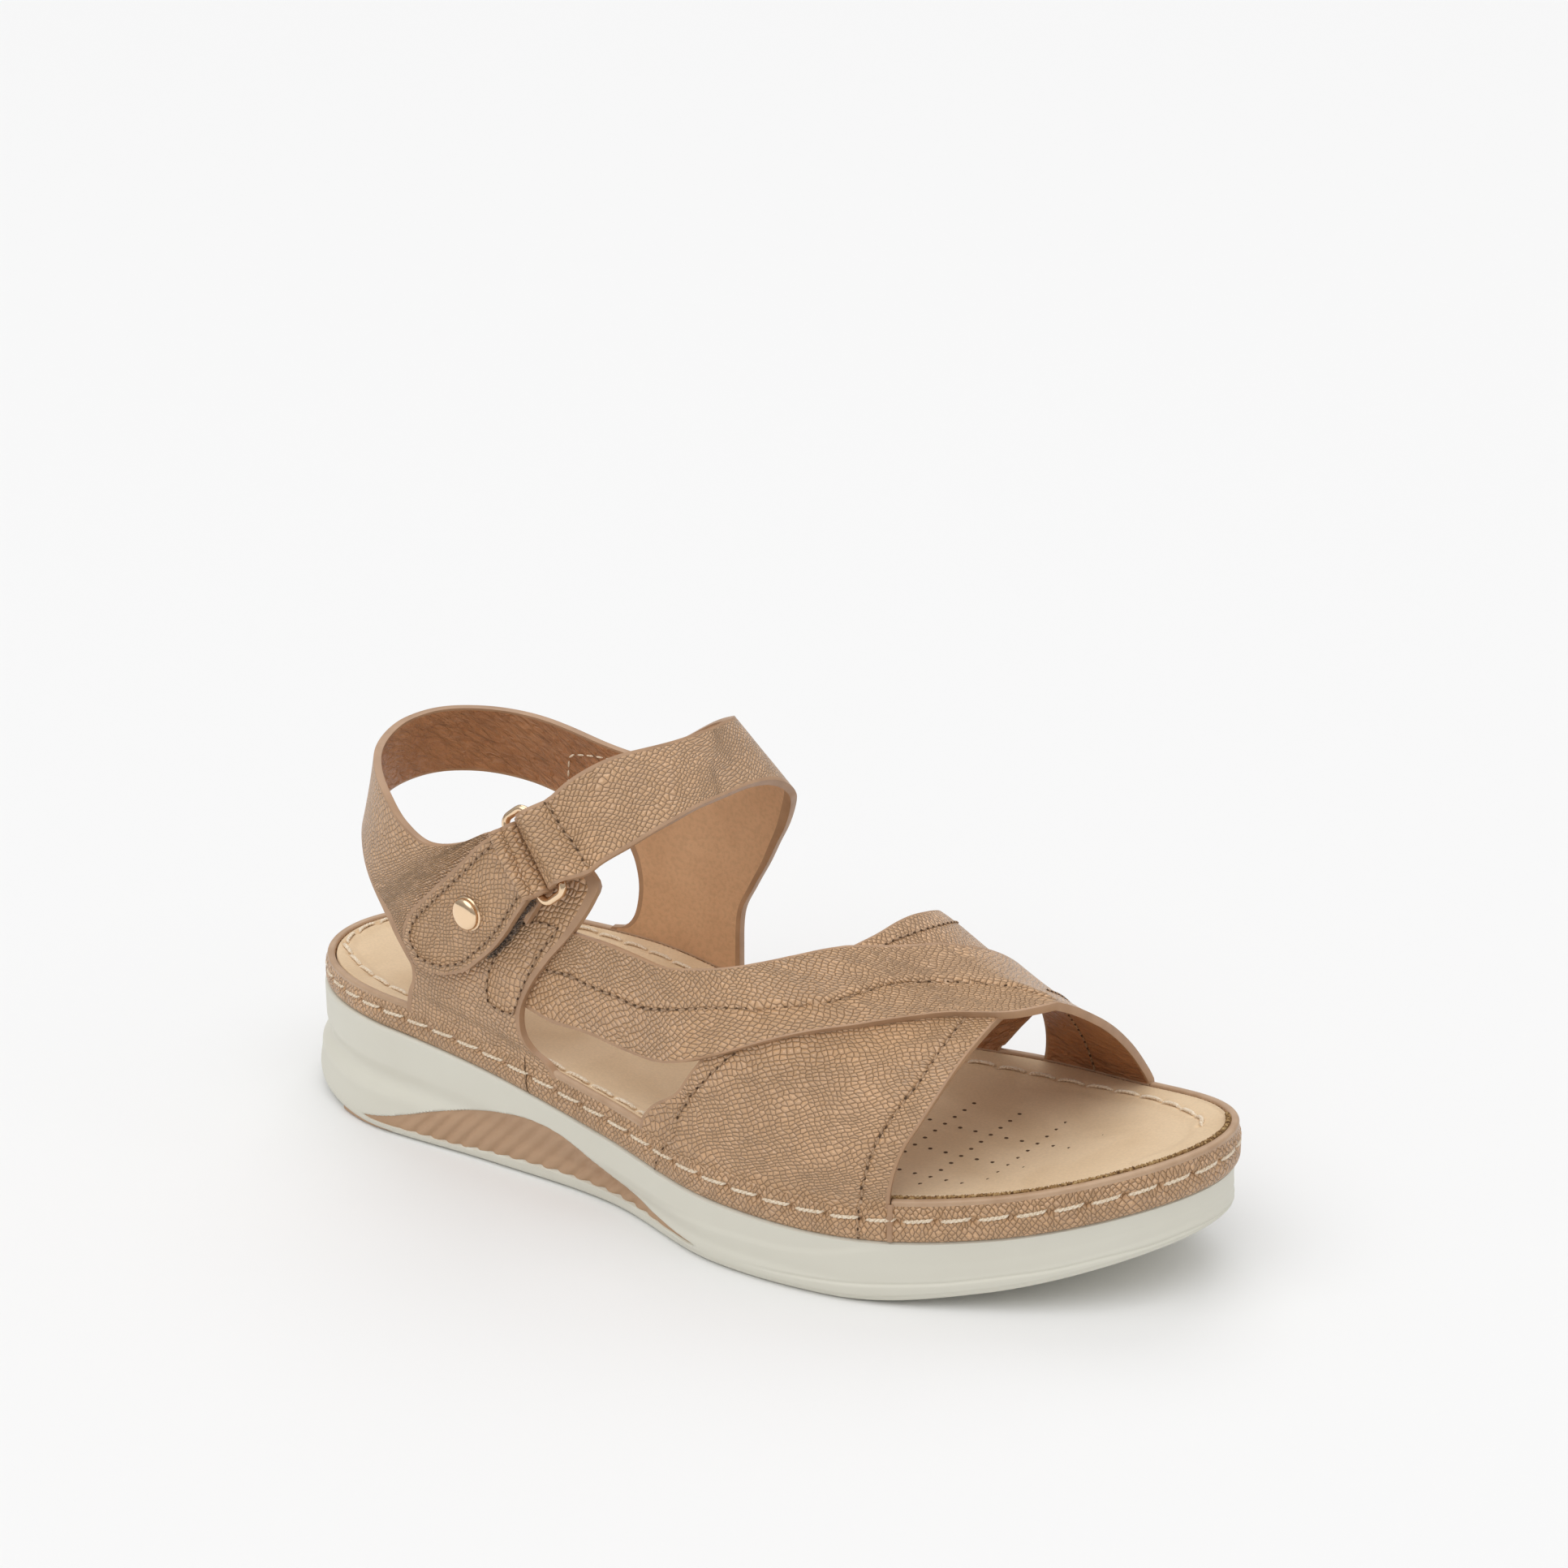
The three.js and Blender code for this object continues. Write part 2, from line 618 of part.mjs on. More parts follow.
function tabGrid() {
  const body = strapGrid(tabRows, outerWall);
  const fold = foldLines(1);
  const lead = leadLines(body[body.length - 2], body[body.length - 1], fold[0], fold[1]);
  const under = strapGrid(tabReturnRows, outerWall);
  return [...body, ...lead, ...fold, ...under];
}

// The sole: a wedge with a groove and bulge at the heel, an outsole that stands a little proud, and a
// plug that rises inside the band.
function soleTopAt(along) {
  return bandFootAt(along) - jointGap;
}

function outsoleAt(along) {
  return Math.min(outsoleHeight, outsoleShare * (soleTopAt(along) - groundAt(along)));
}

// Places up the side: share of the side's height, rise above the outsole, column of flare and inset
const sidePlaces = [
  { share: 0, outsole: 1, rise: outsoleStep, column: 'foot', inset: outsoleStep },
  { share: 0.28, outsole: 0, rise: 0, column: 'bulge', inset: 0 },
  { share: 0.36, outsole: 0, rise: 0, column: 'bulge', inset: 0.2 },
  { share: 0.50, outsole: 0, rise: 0, column: 'groove', inset: 0 },
  { share: 0.66, outsole: 0, rise: 0, column: 'top', inset: 0 },
  { share: 0.97, outsole: 0, rise: 0, column: 'top', inset: 0 },
];

function placeHeight(place, along) {
  const side = soleTopAt(along) - groundAt(along);
  return groundAt(along) + place.share * side + place.outsole * outsoleAt(along) + place.rise;
}

function placeOffset(place, along) {
  return flare[place.column](along) * soleFlare - place.inset;
}

// How far the sole's side stands out from the rim at a height
function sideOffset(along, z) {
  const heights = sidePlaces.map((place) => placeHeight(place, along));
  const above = THREE.MathUtils.clamp(heights.findIndex((height) => height > z), 1, heights.length - 1);
  const share = (z - heights[above - 1]) / (heights[above] - heights[above - 1]);
  const [low, high] = [sidePlaces[above - 1], sidePlaces[above]].map((place) => placeOffset(place, along));
  return THREE.MathUtils.lerp(low, high, THREE.MathUtils.clamp(share, 0, 1));
}

function soleGeometry() {
  const plugInset = bandThickness + jointGap;
  const plugTop = (along) => rimAt(along) - footbedBelowRim - footbedThickness - 2 * jointGap;
  const plugDish = (along) => plugTop(along) - footbedDish * shoe.dish(along);
  const rounding = (along) => Math.min(outsoleRounding, roundingShare * outsoleAt(along));
  const foot = (along) => flare.foot(along) * soleFlare;
  const cornerOffset = (along) => foot(along) - 0.3 * rounding(along);
  const cornerHeight = (along) => groundAt(along) + 0.3 * rounding(along);
  const sideRing = (place) => {
    return edgeRing((along) => placeOffset(place, along), (along) => placeHeight(place, along));
  };
  const hollow = (along) => {
    const waist = Math.max(0, 1 - Math.abs(along - hollowMiddle) / hollowReach);
    return groundAt(along) + shankHollow * waist * waist * (3 - 2 * waist);
  };
  return ringSolid([
    innerRing(0, outsoleRounding, hollow),
    innerRing(0.75, outsoleRounding, hollow),
    innerRing(0.9, outsoleRounding, groundAt),
    edgeRing((along) => foot(along) - rounding(along), groundAt),
    edgeRing(cornerOffset, cornerHeight),
    edgeRing(foot, (along) => groundAt(along) + rounding(along)),
    edgeRing(foot, (along) => groundAt(along) + outsoleAt(along)),
    ...sidePlaces.map(sideRing),
    edgeRing((along) => flare.top(along) * soleFlare - bandRounding, soleTopAt),
    edgeRing(() => -plugInset, soleTopAt),
    edgeRing(() => -plugInset, plugTop),
    innerRing(0.6, plugInset, plugDish),
    innerRing(0, plugInset, plugDish),
  ]);
}

// Ribbed plate let into the sole's side under the arch: lower and upper edge as shares of its height
const ribPlateEdges = [
  [0.125, 0.05, 0.12],
  [0.180, 0.08, 0.31],
  [0.235, 0.13, 0.60],
  [0.290, 0.20, 0.84],
  [0.350, 0.25, 1.00],
  [0.400, 0.26, 0.93],
  [0.450, 0.25, 0.62],
  [0.500, 0.23, 0.37],
  [0.550, 0.21, 0.29],
  [0.572, 0.20, 0.26],
];
const ribPlate = table(['along', 'low', 'high'], ribPlateEdges);
const [ribPlateStart] = ribPlateEdges[0];
const [ribPlateEnd] = ribPlateEdges[ribPlateEdges.length - 1];
const ribPlateRows = 3;

function ribPlateSheet(side, grow, face) {
  const length = (ribPlateEnd - ribPlateStart) * footbedLength;
  const columns = Math.max(12, Math.round((3 * length) / ribPitch));
  const sheet = [];
  for (let i = 0; i <= columns; i += 1) {
    const base = THREE.MathUtils.lerp(ribPlateStart, ribPlateEnd, i / columns);
    const fade = Math.sin((Math.PI * i) / columns);
    const line = [];
    for (let j = 0; j <= ribPlateRows; j += 1) {
      const low = ribPlate.low(base) * ribPlateHeight - grow;
      const high = ribPlate.high(base) * ribPlateHeight + grow;
      const z = THREE.MathUtils.lerp(low, high, j / ribPlateRows);
      const lean = (ribSlant * fade * (z - low)) / footbedLength;
      const ends = ((2 * i) / columns - 1) * (grow / footbedLength);
      const along = base + lean + ends;
      const edge = outlinePoint(turnAt(along, side), face(along, z, i));
      line.push(new THREE.Vector3(edge.x, edge.y, z));
    }
    sheet.push(line);
  }
  return sheet;
}

function ribPlateGeometry(side) {
  const back = (along, z) => sideOffset(along, z) - ribPlateRecess - ribPlateThickness;
  const ribs = (along, z, i) => sideOffset(along, z) - ribPlateRecess - (i % 3 === 0 ? ribDepth : 0);
  return sheetSolid(ribPlateSheet(side, 0, ribs), ribPlateSheet(side, 0, back));
}

function ribRecessGeometry(side) {
  const back = (along, z) => sideOffset(along, z) - ribPlateRecess - ribPlateThickness - jointGap;
  const front = (along, z) => sideOffset(along, z) + soleFlare;
  return sheetSolid(ribPlateSheet(side, jointGap, front), ribPlateSheet(side, jointGap, back));
}

// The footbed: a board with a dished top that stops just inside the band
function footbedGeometry() {
  const inset = bandThickness + jointGap;
  const rim = (along) => rimAt(along) - footbedBelowRim;
  const dish = (along, share) => rim(along) - footbedDish * shoe.dish(along) * (1 - share ** 3);
  const under = (along) => rim(along) - footbedThickness;
  const belly = (along) => under(along) - footbedDish * shoe.dish(along);
  return ringSolid([
    innerRing(0, inset, belly),
    innerRing(0.6, inset, belly),
    edgeRing(() => -inset, under),
    edgeRing(() => -inset, (along) => rim(along) - bandRounding),
    edgeRing(() => -inset - bandRounding, rim),
    innerRing(0.85, inset, dish),
    innerRing(0.6, inset, dish),
    innerRing(0.3, inset, dish),
    innerRing(0, inset, dish),
  ]);
}

// A length of the band between two turns of the outline
function bandGeometry(from, to) {
  const steps = Math.max(4, Math.round((to - from) * turnSteps));
  const levels = [
    { share: 0, below: 0, inset: 0 },
    { share: 1, below: bandRounding, inset: 0 },
    { share: 1, below: 0, inset: bandRounding },
  ];
  const sheet = (offset, inward) => {
    const grid = [];
    for (let i = 0; i <= steps; i += 1) {
      const turn = THREE.MathUtils.lerp(from, to, i / steps);
      const along = alongAt(turn - Math.floor(turn));
      grid.push(levels.map((level) => {
        const edge = outlinePoint(turn, offset + inward * level.inset);
        const height = THREE.MathUtils.lerp(bandFootAt(along), rimAt(along), level.share);
        return new THREE.Vector3(edge.x, edge.y, height - level.below);
      }));
    }
    return grid;
  };
  return sheetSolid(sheet(0, -1), sheet(-bandThickness, 0.4));
}

// The toe piece of the band fills the opening between the front edges of the two vamp straps.
const toePieceFrom = turnAt(overRows[overRows.length - 1][2], 1);
const toePieceTo = turnAt(underRows[0][2], -1);
const toeGap = jointGap / (2.2 * footbedLength);

function ringGeometry() {
  const wire = new THREE.TorusGeometry(cornerRadius, wireRadius, 8, 32);
  const position = wire.getAttribute('position');
  const stretch = (value, size) => {
    const corner = Math.abs(value) > rimSink ? Math.sign(value) : 0;
    return value + corner * (size / 2 - cornerRadius);
  };
  for (let i = 0; i < position.count; i += 1) {
    position.setX(i, stretch(position.getX(i), barSpacing));
    position.setY(i, stretch(position.getY(i), ring.length));
  }
  wire.deleteAttribute('normal');
  wire.deleteAttribute('uv');
  const basis = new THREE.Matrix4().makeBasis(ring.short, ring.long, ring.short.clone().cross(ring.long));
  basis.setPosition(ring.centre);
  wire.applyMatrix4(basis);
  return closedGeometry(Array.from(wire.getAttribute('position').array), Array.from(wire.index.array));
}

// Domed stud seated on the tab, at a share of its length from the rounded end
const studPlace = 0.58;

function studGeometry() {
  const profile = [[0, 0], [0.92, 0], [1, 0.2], [0.97, 0.5], [0.8, 0.78], [0.45, 0.96], [0, 1]];
  const dome = new THREE.LatheGeometry(
    profile.map(([r, h]) => new THREE.Vector2(r * studRadius, h * studHeight)),
    24,
  );
  dome.deleteAttribute('normal');
  dome.deleteAttribute('uv');
  const edges = strapGrid(tabRows, outerWall).map((line) => [line[0], line[strapColumns]]);
  const middles = edges.map(([upper, lower]) => upper.clone().lerp(lower, 0.5));
  const middleLine = new THREE.CatmullRomCurve3(middles);
  const centre = middleLine.getPoint(studPlace);
  const [upper, lower] = edges[Math.round(studPlace * (edges.length - 1))];
  const out = lower.clone().sub(upper).cross(middleLine.getTangent(studPlace)).normalize();
  if (out.y > 0) out.negate();
  dome.applyQuaternion(new THREE.Quaternion().setFromUnitVectors(new THREE.Vector3(0, 1, 0), out));
  centre.addScaledVector(out, strapThickness / 2 + jointGap);
  dome.translate(centre.x, centre.y, centre.z);
  return closedGeometry(Array.from(dome.getAttribute('position').array), Array.from(dome.index.array));
}

// The upper is one piece: the band round the heel and sides, the quarter with its slingback, the
// ankle strap with its inner quarter, and the two crossed straps.
function upperGeometry() {
  const pieces = [
    bandGeometry(toePieceTo, 1 + toePieceFrom),
    strapSolid(strapGrid([...quarterRows, ...slingRows], wallPoint)),
    strapSolid(ankleGrid()),
    strapSolid(strapGrid(overRows, lastPoint)),
    strapSolid(strapGrid(underRows, lastPoint, 2 * strapColumns)),
  ];
  return toGeometry(pieces.map(toSolid).reduce((whole, piece) => whole.add(piece)));
}

function soleWithRecesses() {
  const recesses = [1, -1].map((side) => toSolid(ribRecessGeometry(side)));
  return toGeometry(recesses.reduce((whole, recess) => whole.subtract(recess), toSolid(soleGeometry())));
}

function addPiece(name, geometry, { colour, roughness, metalness = 0 }) {
  geometry.computeVertexNormals();
  const material = new THREE.MeshStandardMaterial({ color: colour, roughness, metalness });
  material.name = name;
  const mesh = new THREE.Mesh(geometry, material);
  mesh.name = name;
  sandal.add(mesh);
}

const sandal = new THREE.Group();
sandal.name = 'cross_strap_sandal';
sandal.position.x = -heelSeatAlong * footbedLength;

const foam = { colour: 0xd9d6ca, roughness: 0.75 };
const ribPlastic = { colour: 0xa6855a, roughness: 0.7 };
const nubuck = { colour: 0xb08a56, roughness: 0.9 };
const leather = { colour: 0x9c8266, roughness: 0.55 };
const paleGold = { colour: 0xd9b48c, roughness: 0.25, metalness: 1 };

addPiece('sole_unit', soleWithRecesses(), foam);
addPiece('rib_insert_lateral', ribPlateGeometry(-1), ribPlastic);
addPiece('rib_insert_medial', ribPlateGeometry(1), ribPlastic);
addPiece('footbed', footbedGeometry(), nubuck);
addPiece('toe_rand', bandGeometry(toePieceFrom + toeGap, toePieceTo - toeGap), leather);
addPiece('upper', upperGeometry(), leather);
addPiece('fastening_tab', strapSolid(tabGrid()), leather);
addPiece('ring', ringGeometry(), paleGold);
addPiece('stud', studGeometry(), paleGold);

export default sandal;
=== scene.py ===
import bisect
import math

import bmesh
import bpy
from mathutils import Matrix, Vector
from mathutils.bvhtree import BVHTree
from mathutils.kdtree import KDTree


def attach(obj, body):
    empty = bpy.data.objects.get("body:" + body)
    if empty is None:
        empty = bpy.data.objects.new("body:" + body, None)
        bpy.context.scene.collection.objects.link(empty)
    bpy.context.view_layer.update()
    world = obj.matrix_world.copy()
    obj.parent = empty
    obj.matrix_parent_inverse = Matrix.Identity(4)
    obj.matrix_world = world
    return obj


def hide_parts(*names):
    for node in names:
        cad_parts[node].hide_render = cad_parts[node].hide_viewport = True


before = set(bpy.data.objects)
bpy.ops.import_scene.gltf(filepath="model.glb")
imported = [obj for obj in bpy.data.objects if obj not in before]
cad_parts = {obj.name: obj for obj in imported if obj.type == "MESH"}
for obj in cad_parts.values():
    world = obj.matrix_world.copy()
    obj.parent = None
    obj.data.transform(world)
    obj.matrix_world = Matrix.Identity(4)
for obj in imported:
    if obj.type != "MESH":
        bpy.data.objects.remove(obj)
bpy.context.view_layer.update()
print("stage: frame loaded")

# the foot form, in millimetres; rounds and tuckReach are shares of the length, tuckHeight of the instep
form = {
    "footbedLength": 250.0,
    "ballWidth": 92.0,
    "heelHeight": 36.0,
    "instepHeight": 80.0,
    "heelTuck": 22.0,
    "heelSeat": 50.0,  # from the back of the rim to the origin
    "toeSpring": 16.5,
    "heelRound": 0.175,
    "toeRound": 0.235,
    "tuckHeight": 0.92,
    "tuckReach": 0.3,
    "bandHeight": 10.0,
    "bandThickness": 2.0,
    "strapThickness": 2.0,
    "rimSink": 0.1,
    "layerSink": 0.35,
}


def mix(a, b, share):
    return a + (b - a) * share


def clamp(value, low=0.0, high=1.0):
    return max(low, min(high, value))


# a soft step from low to high
def ease(value, low, high):
    t = clamp((value - low) / (high - low))
    return t * t * (3 - 2 * t)


# a soft hump round the middle
def bump(value, middle, width):
    return math.exp(-((value - middle) / width) ** 2)


# a curve through the values that never swings past them
def smoothCurve(stations, values):
    last = len(stations) - 1
    chords = [(values[i + 1] - values[i]) / (stations[i + 1] - stations[i]) for i in range(last)]
    slopes = [chords[0]]
    for i in range(1, last):
        before = stations[i] - stations[i - 1]
        after = stations[i + 1] - stations[i]
        slope = (chords[i - 1] * after + chords[i] * before) / (before + after)
        steepest = 3 * min(abs(chords[i - 1]), abs(chords[i]))
        slopes.append(clamp(slope, -steepest, steepest))
    slopes.append(chords[-1])

    def curve(at):
        i = clamp(bisect.bisect_left(stations, at) - 1, 0, last - 1)
        width = stations[i + 1] - stations[i]
        t = (at - stations[i]) / width
        rise = t * t * (3 - 2 * t)
        tangents = width * (t * (1 - t) ** 2 * slopes[i] + t * t * (t - 1) * slopes[i + 1])
        return values[i] * (1 - rise) + values[i + 1] * rise + tangents

    return curve


def table(names, rows):
    stations = [row[0] for row in rows]
    return {name: smoothCurve(stations, [row[k + 1] for row in rows]) for k, name in enumerate(names[1:])}


# the outline and its heights along the foot, as shares of the sizes above
plan = table(
    ["along", "centre", "half", "rim", "band", "spring", "dish"],
    [
        [0.00, 0.000, 0.717, 0.97, 0.70, 0.18, 0.60],
        [0.15, -0.022, 0.739, 1.00, 0.80, 0.00, 1.00],
        [0.30, 0.011, 0.815, 0.944, 0.90, 0.00, 0.80],
        [0.45, -0.043, 0.837, 0.806, 0.95, 0.00, 0.50],
        [0.60, -0.109, 0.946, 0.736, 1.00, 0.00, 0.35],
        [0.72, 0.000, 1.000, 0.708, 1.00, 0.00, 0.35],
        [0.85, 0.109, 0.880, 0.778, 1.00, 0.27, 0.30],
        [1.00, 0.195, 0.803, 1.028, 1.00, 1.00, 0.20],
    ],
)
# height and skew are shares of instep height and half the ball width; outer and inner round the sides
lastShape = table(
    ["along", "height", "skew", "outer", "inner"],
    [
        [0.00, 1.375, 0.000, 2.4, 2.4],
        [0.20, 1.375, 0.000, 2.4, 2.4],
        [0.30, 1.225, 0.065, 2.7, 2.7],
        [0.40, 1.000, 0.110, 3.2, 3.2],
        [0.50, 0.762, 0.150, 2.8, 2.8],
        [0.58, 0.625, 0.150, 2.4, 2.4],
        [0.65, 0.545, 0.150, 2.3, 2.2],
        [0.70, 0.475, 0.130, 2.3, 1.85],
        [0.80, 0.390, 0.055, 2.1, 1.35],
        [0.90, 0.325, 0.000, 1.9, 1.25],
        [1.00, 0.270, 0.000, 1.9, 1.25],
    ],
)


def alongAt(turn):
    return 0.5 - 0.5 * math.cos(2 * math.pi * turn)


def turnAt(along, side):
    turn = math.acos(clamp(1 - 2 * along, -1, 1)) / (2 * math.pi)
    return turn if side > 0 else 1 - turn


def centreAt(along):
    return plan["centre"](along) * form["ballWidth"] / 2


def rimAt(along):
    return plan["rim"](along) * form["heelHeight"]


def bandFootAt(along):
    return rimAt(along) - plan["band"](along) * form["bandHeight"]


def groundAt(along):
    return max(0.0, plan["spring"](along)) * form["toeSpring"]


def rimPoint(turn):
    whole = turn - math.floor(turn)
    along = alongAt(whole)
    side = 1 if whole < 0.5 else -1
    heel = max(0.0, 1 - along / form["heelRound"])
    toe = max(0.0, 1 - (1 - along) / form["toeRound"])
    rounding = math.sqrt(max(0.0, 1 - heel * heel - toe * toe))
    y = centreAt(along) + side * plan["half"](along) * form["ballWidth"] / 2 * rounding
    return Vector((along * form["footbedLength"], y))


outlineMemo = {}


def outlinePoint(turn, offset):
    if turn not in outlineMemo:
        travel = (rimPoint(turn + 0.001) - rimPoint(turn - 0.001)).normalized()
        outlineMemo[turn] = (rimPoint(turn), Vector((-travel.y, travel.x)))
    rim, out = outlineMemo[turn]
    return rim + out * offset


def atHeight(spot, z):
    return Vector((spot.x, spot.y, z))


def outlineSpot(turn, offset, z):
    return atHeight(outlinePoint(turn, offset), z)


def stationOf(spot):
    return clamp(spot.x / form["footbedLength"])


# the middle line that the rings of sole and footbed close on
def spineSpot(along):
    spine = clamp(along, form["heelRound"], 1 - form["toeRound"])
    return Vector((spine * form["footbedLength"], centreAt(spine)))


def formPoint(along, side, share):
    height = lastShape["height"](along) * form["instepHeight"]
    roundness = lastShape["inner" if side > 0 else "outer"](along)
    up = clamp(share)
    reach = (1 - up ** roundness) ** (1 / roundness)
    foot = outlinePoint(turnAt(along, side), form["rimSink"] - form["bandThickness"])
    x = mix(along * form["footbedLength"], foot.x, reach)
    y = mix(centreAt(along), foot.y, reach)
    skew = lastShape["skew"](along) * form["ballWidth"] * up / 2
    lean = math.sin(math.pi / 2 * min(1, up * height / (form["tuckHeight"] * form["instepHeight"])))
    tuck = form["heelTuck"] * lean * max(0.0, 1 - along / form["tuckReach"])
    return Vector((x + tuck, y + skew, rimAt(along) + share * height))


def lifted(point, first, second, lift):
    here = point(first, second)
    if not lift:
        return here
    a = point(first + 0.001, second) - point(first - 0.001, second)
    b = point(first, second + 0.001) - point(first, second - 0.001)
    return here + a.cross(b).normalized() * lift


def lastSurface(along, around):
    inside = clamp(around)
    side = 1 if inside > 0.5 else -1
    roundness = lastShape["inner" if side > 0 else "outer"](along)
    share = math.sin(math.pi * inside) ** (2 / roundness)
    height = lastShape["height"](along) * form["instepHeight"]
    below = max(0.0, -around, around - 1) * form["bandHeight"] / height
    return formPoint(along, side, share - below)


def wallSurface(turn, up):
    along = alongAt(abs(turn))
    return formPoint(along, -1 if turn < 0 else 1, up / lastShape["height"](along))


def lastPoint(along, around, lift):
    return lifted(lastSurface, along, around, lift)


def wallPoint(turn, up, lift):
    return lifted(wallSurface, turn, up, -lift)


def outerWall(along, up, lift):
    return wallPoint(turnAt(along, -1) - 1, up, lift)


def toModel(point):
    return Vector(((point[0] - form["heelSeat"]) / 1000, point[1] / 1000, point[2] / 1000))


print("stage: foot form ready")


# finishes
def newMaterial(name, colour, roughness, sockets=None):
    material = bpy.data.materials.new(name)
    material.use_nodes = True
    shader = material.node_tree.nodes["Principled BSDF"]
    shader.inputs["Base Color"].default_value = (*colour, 1)
    shader.inputs["Roughness"].default_value = roughness
    for socket, value in (sockets or {}).items():
        shader.inputs[socket].default_value = value
    return material, material.node_tree, shader


def addNode(tree, kind, inputs=None, **settings):
    node = tree.nodes.new(kind)
    for key, value in settings.items():
        setattr(node, key, value)
    for key, value in (inputs or {}).items():
        if isinstance(value, bpy.types.NodeSocket):
            tree.links.new(value, node.inputs[key])
        else:
            node.inputs[key].default_value = value
    return node


def addNoise(tree, place, scale, detail=2.0, distortion=0.0):
    inputs = {"Vector": place, "Scale": scale, "Detail": detail, "Distortion": distortion}
    return addNode(tree, "ShaderNodeTexNoise", inputs).outputs


def addRamp(tree, factor, stops):
    ramp = tree.nodes.new("ShaderNodeValToRGB")
    elements = ramp.color_ramp.elements
    for k in (0, -1):
        elements[k].position = stops[k][0]
        elements[k].color = (*stops[k][1], 1)
    for position, colour in stops[1:-1]:
        elements.new(position).color = (*colour, 1)
    tree.links.new(factor, ramp.inputs["Fac"])
    return ramp.outputs["Color"]


def greyStops(*pairs):
    return [(position, (value, value, value)) for position, value in pairs]


def mixColour(tree, factor, first, second, blend="MULTIPLY"):
    inputs = {0: factor, 6: first, 7: second}
    return addNode(tree, "ShaderNodeMix", inputs, data_type="RGBA", blend_type=blend).outputs[2]


# the grain map of the piece, turned and drawn out
def grainPlace(tree, place, look):
    inputs = {
        "Vector": place,
        "Rotation": (0, 0, math.radians(look["turn"])),
        "Scale": (1.0, look["stretch"], 1.0),
    }
    return addNode(tree, "ShaderNodeMapping", inputs).outputs["Vector"]


def joinBumps(tree, shader, heights):
    normal = None
    for height, strength, distance in heights:
        inputs = {"Height": height, "Strength": strength, "Distance": distance}
        if normal:
            inputs["Normal"] = normal
        normal = addNode(tree, "ShaderNodeBump", inputs).outputs["Normal"]
    tree.links.new(normal, shader.inputs["Normal"])


leather = {
    "light": (0.70, 0.425, 0.228),
    # dark is painted shade, mixed into the grooves between the grains
    "dark": (0.33, 0.175, 0.082),
    "tones": ((0.35, 0.93), (0.65, 1.07)),
    "roughness": 0.28,
    "shine": 0.85,
    "cellsPerCm": 9.6,
    "stretch": 0.76,
    "turn": 45,
    "uneven": 0.45,
    "drift": 0.45,
    "cellTone": ((0.0, 0.91), (1.0, 1.06)),
    "groove": ((0.0, 0.95), (0.13, 0.0)),
    "crown": ((0.0, 0.0), (0.12, 0.42), (0.44, 1.0)),
    "depth": 0.00052,
    "fineDepth": 0.00006,
}


# leather printed with small crossing grains, longer one way than the other
def printedLeather():
    sockets = {"Specular IOR Level": leather["shine"]}
    material, tree, shader = newMaterial("upperLeather", leather["light"], leather["roughness"], sockets)
    place = addNode(tree, "ShaderNodeUVMap", uv_map="grain").outputs["UV"]
    wander = {0: addNoise(tree, place, 0.9)["Color"], 1: (leather["drift"], leather["drift"], 0.0)}
    sway = addNode(tree, "ShaderNodeVectorMath", wander, operation="MULTIPLY").outputs[0]
    flow = addNode(tree, "ShaderNodeVectorMath", {0: place, 1: sway}, operation="ADD").outputs[0]
    laid = grainPlace(tree, flow, leather)
    grains = {"Vector": laid, "Scale": leather["cellsPerCm"], "Randomness": leather["uneven"]}
    edges, cells = [
        addNode(tree, "ShaderNodeTexVoronoi", grains, feature=feature, voronoi_dimensions="2D").outputs
        for feature in ("DISTANCE_TO_EDGE", "F1")
    ]
    fine = addNoise(tree, laid, 42.0, 3.0)["Fac"]
    tones = [(at, tuple(value * part for value in leather["light"])) for at, part in leather["tones"]]
    broad = addRamp(tree, addNoise(tree, place, 0.5)["Fac"], tones)
    single = addNode(tree, "ShaderNodeSeparateColor", {"Color": cells["Color"]}).outputs[0]
    skin = mixColour(tree, 1.0, broad, addRamp(tree, single, greyStops(*leather["cellTone"])))
    # painted shade: the colour darkens towards the dark tone along the grooves between the grains
    groove = addRamp(tree, edges["Distance"], greyStops(*leather["groove"]))
    colour = mixColour(tree, groove, skin, (*leather["dark"], 1), "MIX")
    tree.links.new(colour, shader.inputs["Base Color"])
    gloss = greyStops((0.3, leather["roughness"] - 0.05), (0.7, leather["roughness"] + 0.1))
    tree.links.new(addRamp(tree, fine, gloss), shader.inputs["Roughness"])
    crown = addRamp(tree, edges["Distance"], greyStops(*leather["crown"]))
    small = leather["fineDepth"]
    joinBumps(tree, shader, [(crown, 1.0, leather["depth"]), (single, 0.35, small), (fine, 0.3, small)])
    return material


creased = {
    "light": (0.55, 0.265, 0.122),
    "dark": (0.46, 0.21, 0.092),
    "roughness": 0.33,
    "shine": 0.45,
    "turn": -60,
    "stretch": 3.2,
    "depth": 0.0020,
    "poreDepth": 0.00008,
}


# smoother creased leather inside the slingback and the crossed straps
def creasedLeather():
    sockets = {"Specular IOR Level": creased["shine"]}
    material, tree, shader = newMaterial("slingLining", creased["light"], creased["roughness"], sockets)
    place = addNode(tree, "ShaderNodeUVMap", uv_map="grain").outputs["UV"]
    crease = addNoise(tree, grainPlace(tree, place, creased), 2.2, 6.0, 1.2)["Fac"]
    pore = addNoise(tree, place, 30.0, 3.0)["Fac"]
    tones = [(0.35, creased["dark"]), (0.65, creased["light"])]
    tree.links.new(addRamp(tree, addNoise(tree, place, 0.9, 3.0)["Fac"], tones), shader.inputs["Base Color"])
    joinBumps(tree, shader, [(crease, 1.0, creased["depth"]), (pore, 0.3, creased["poreDepth"])])
    return material


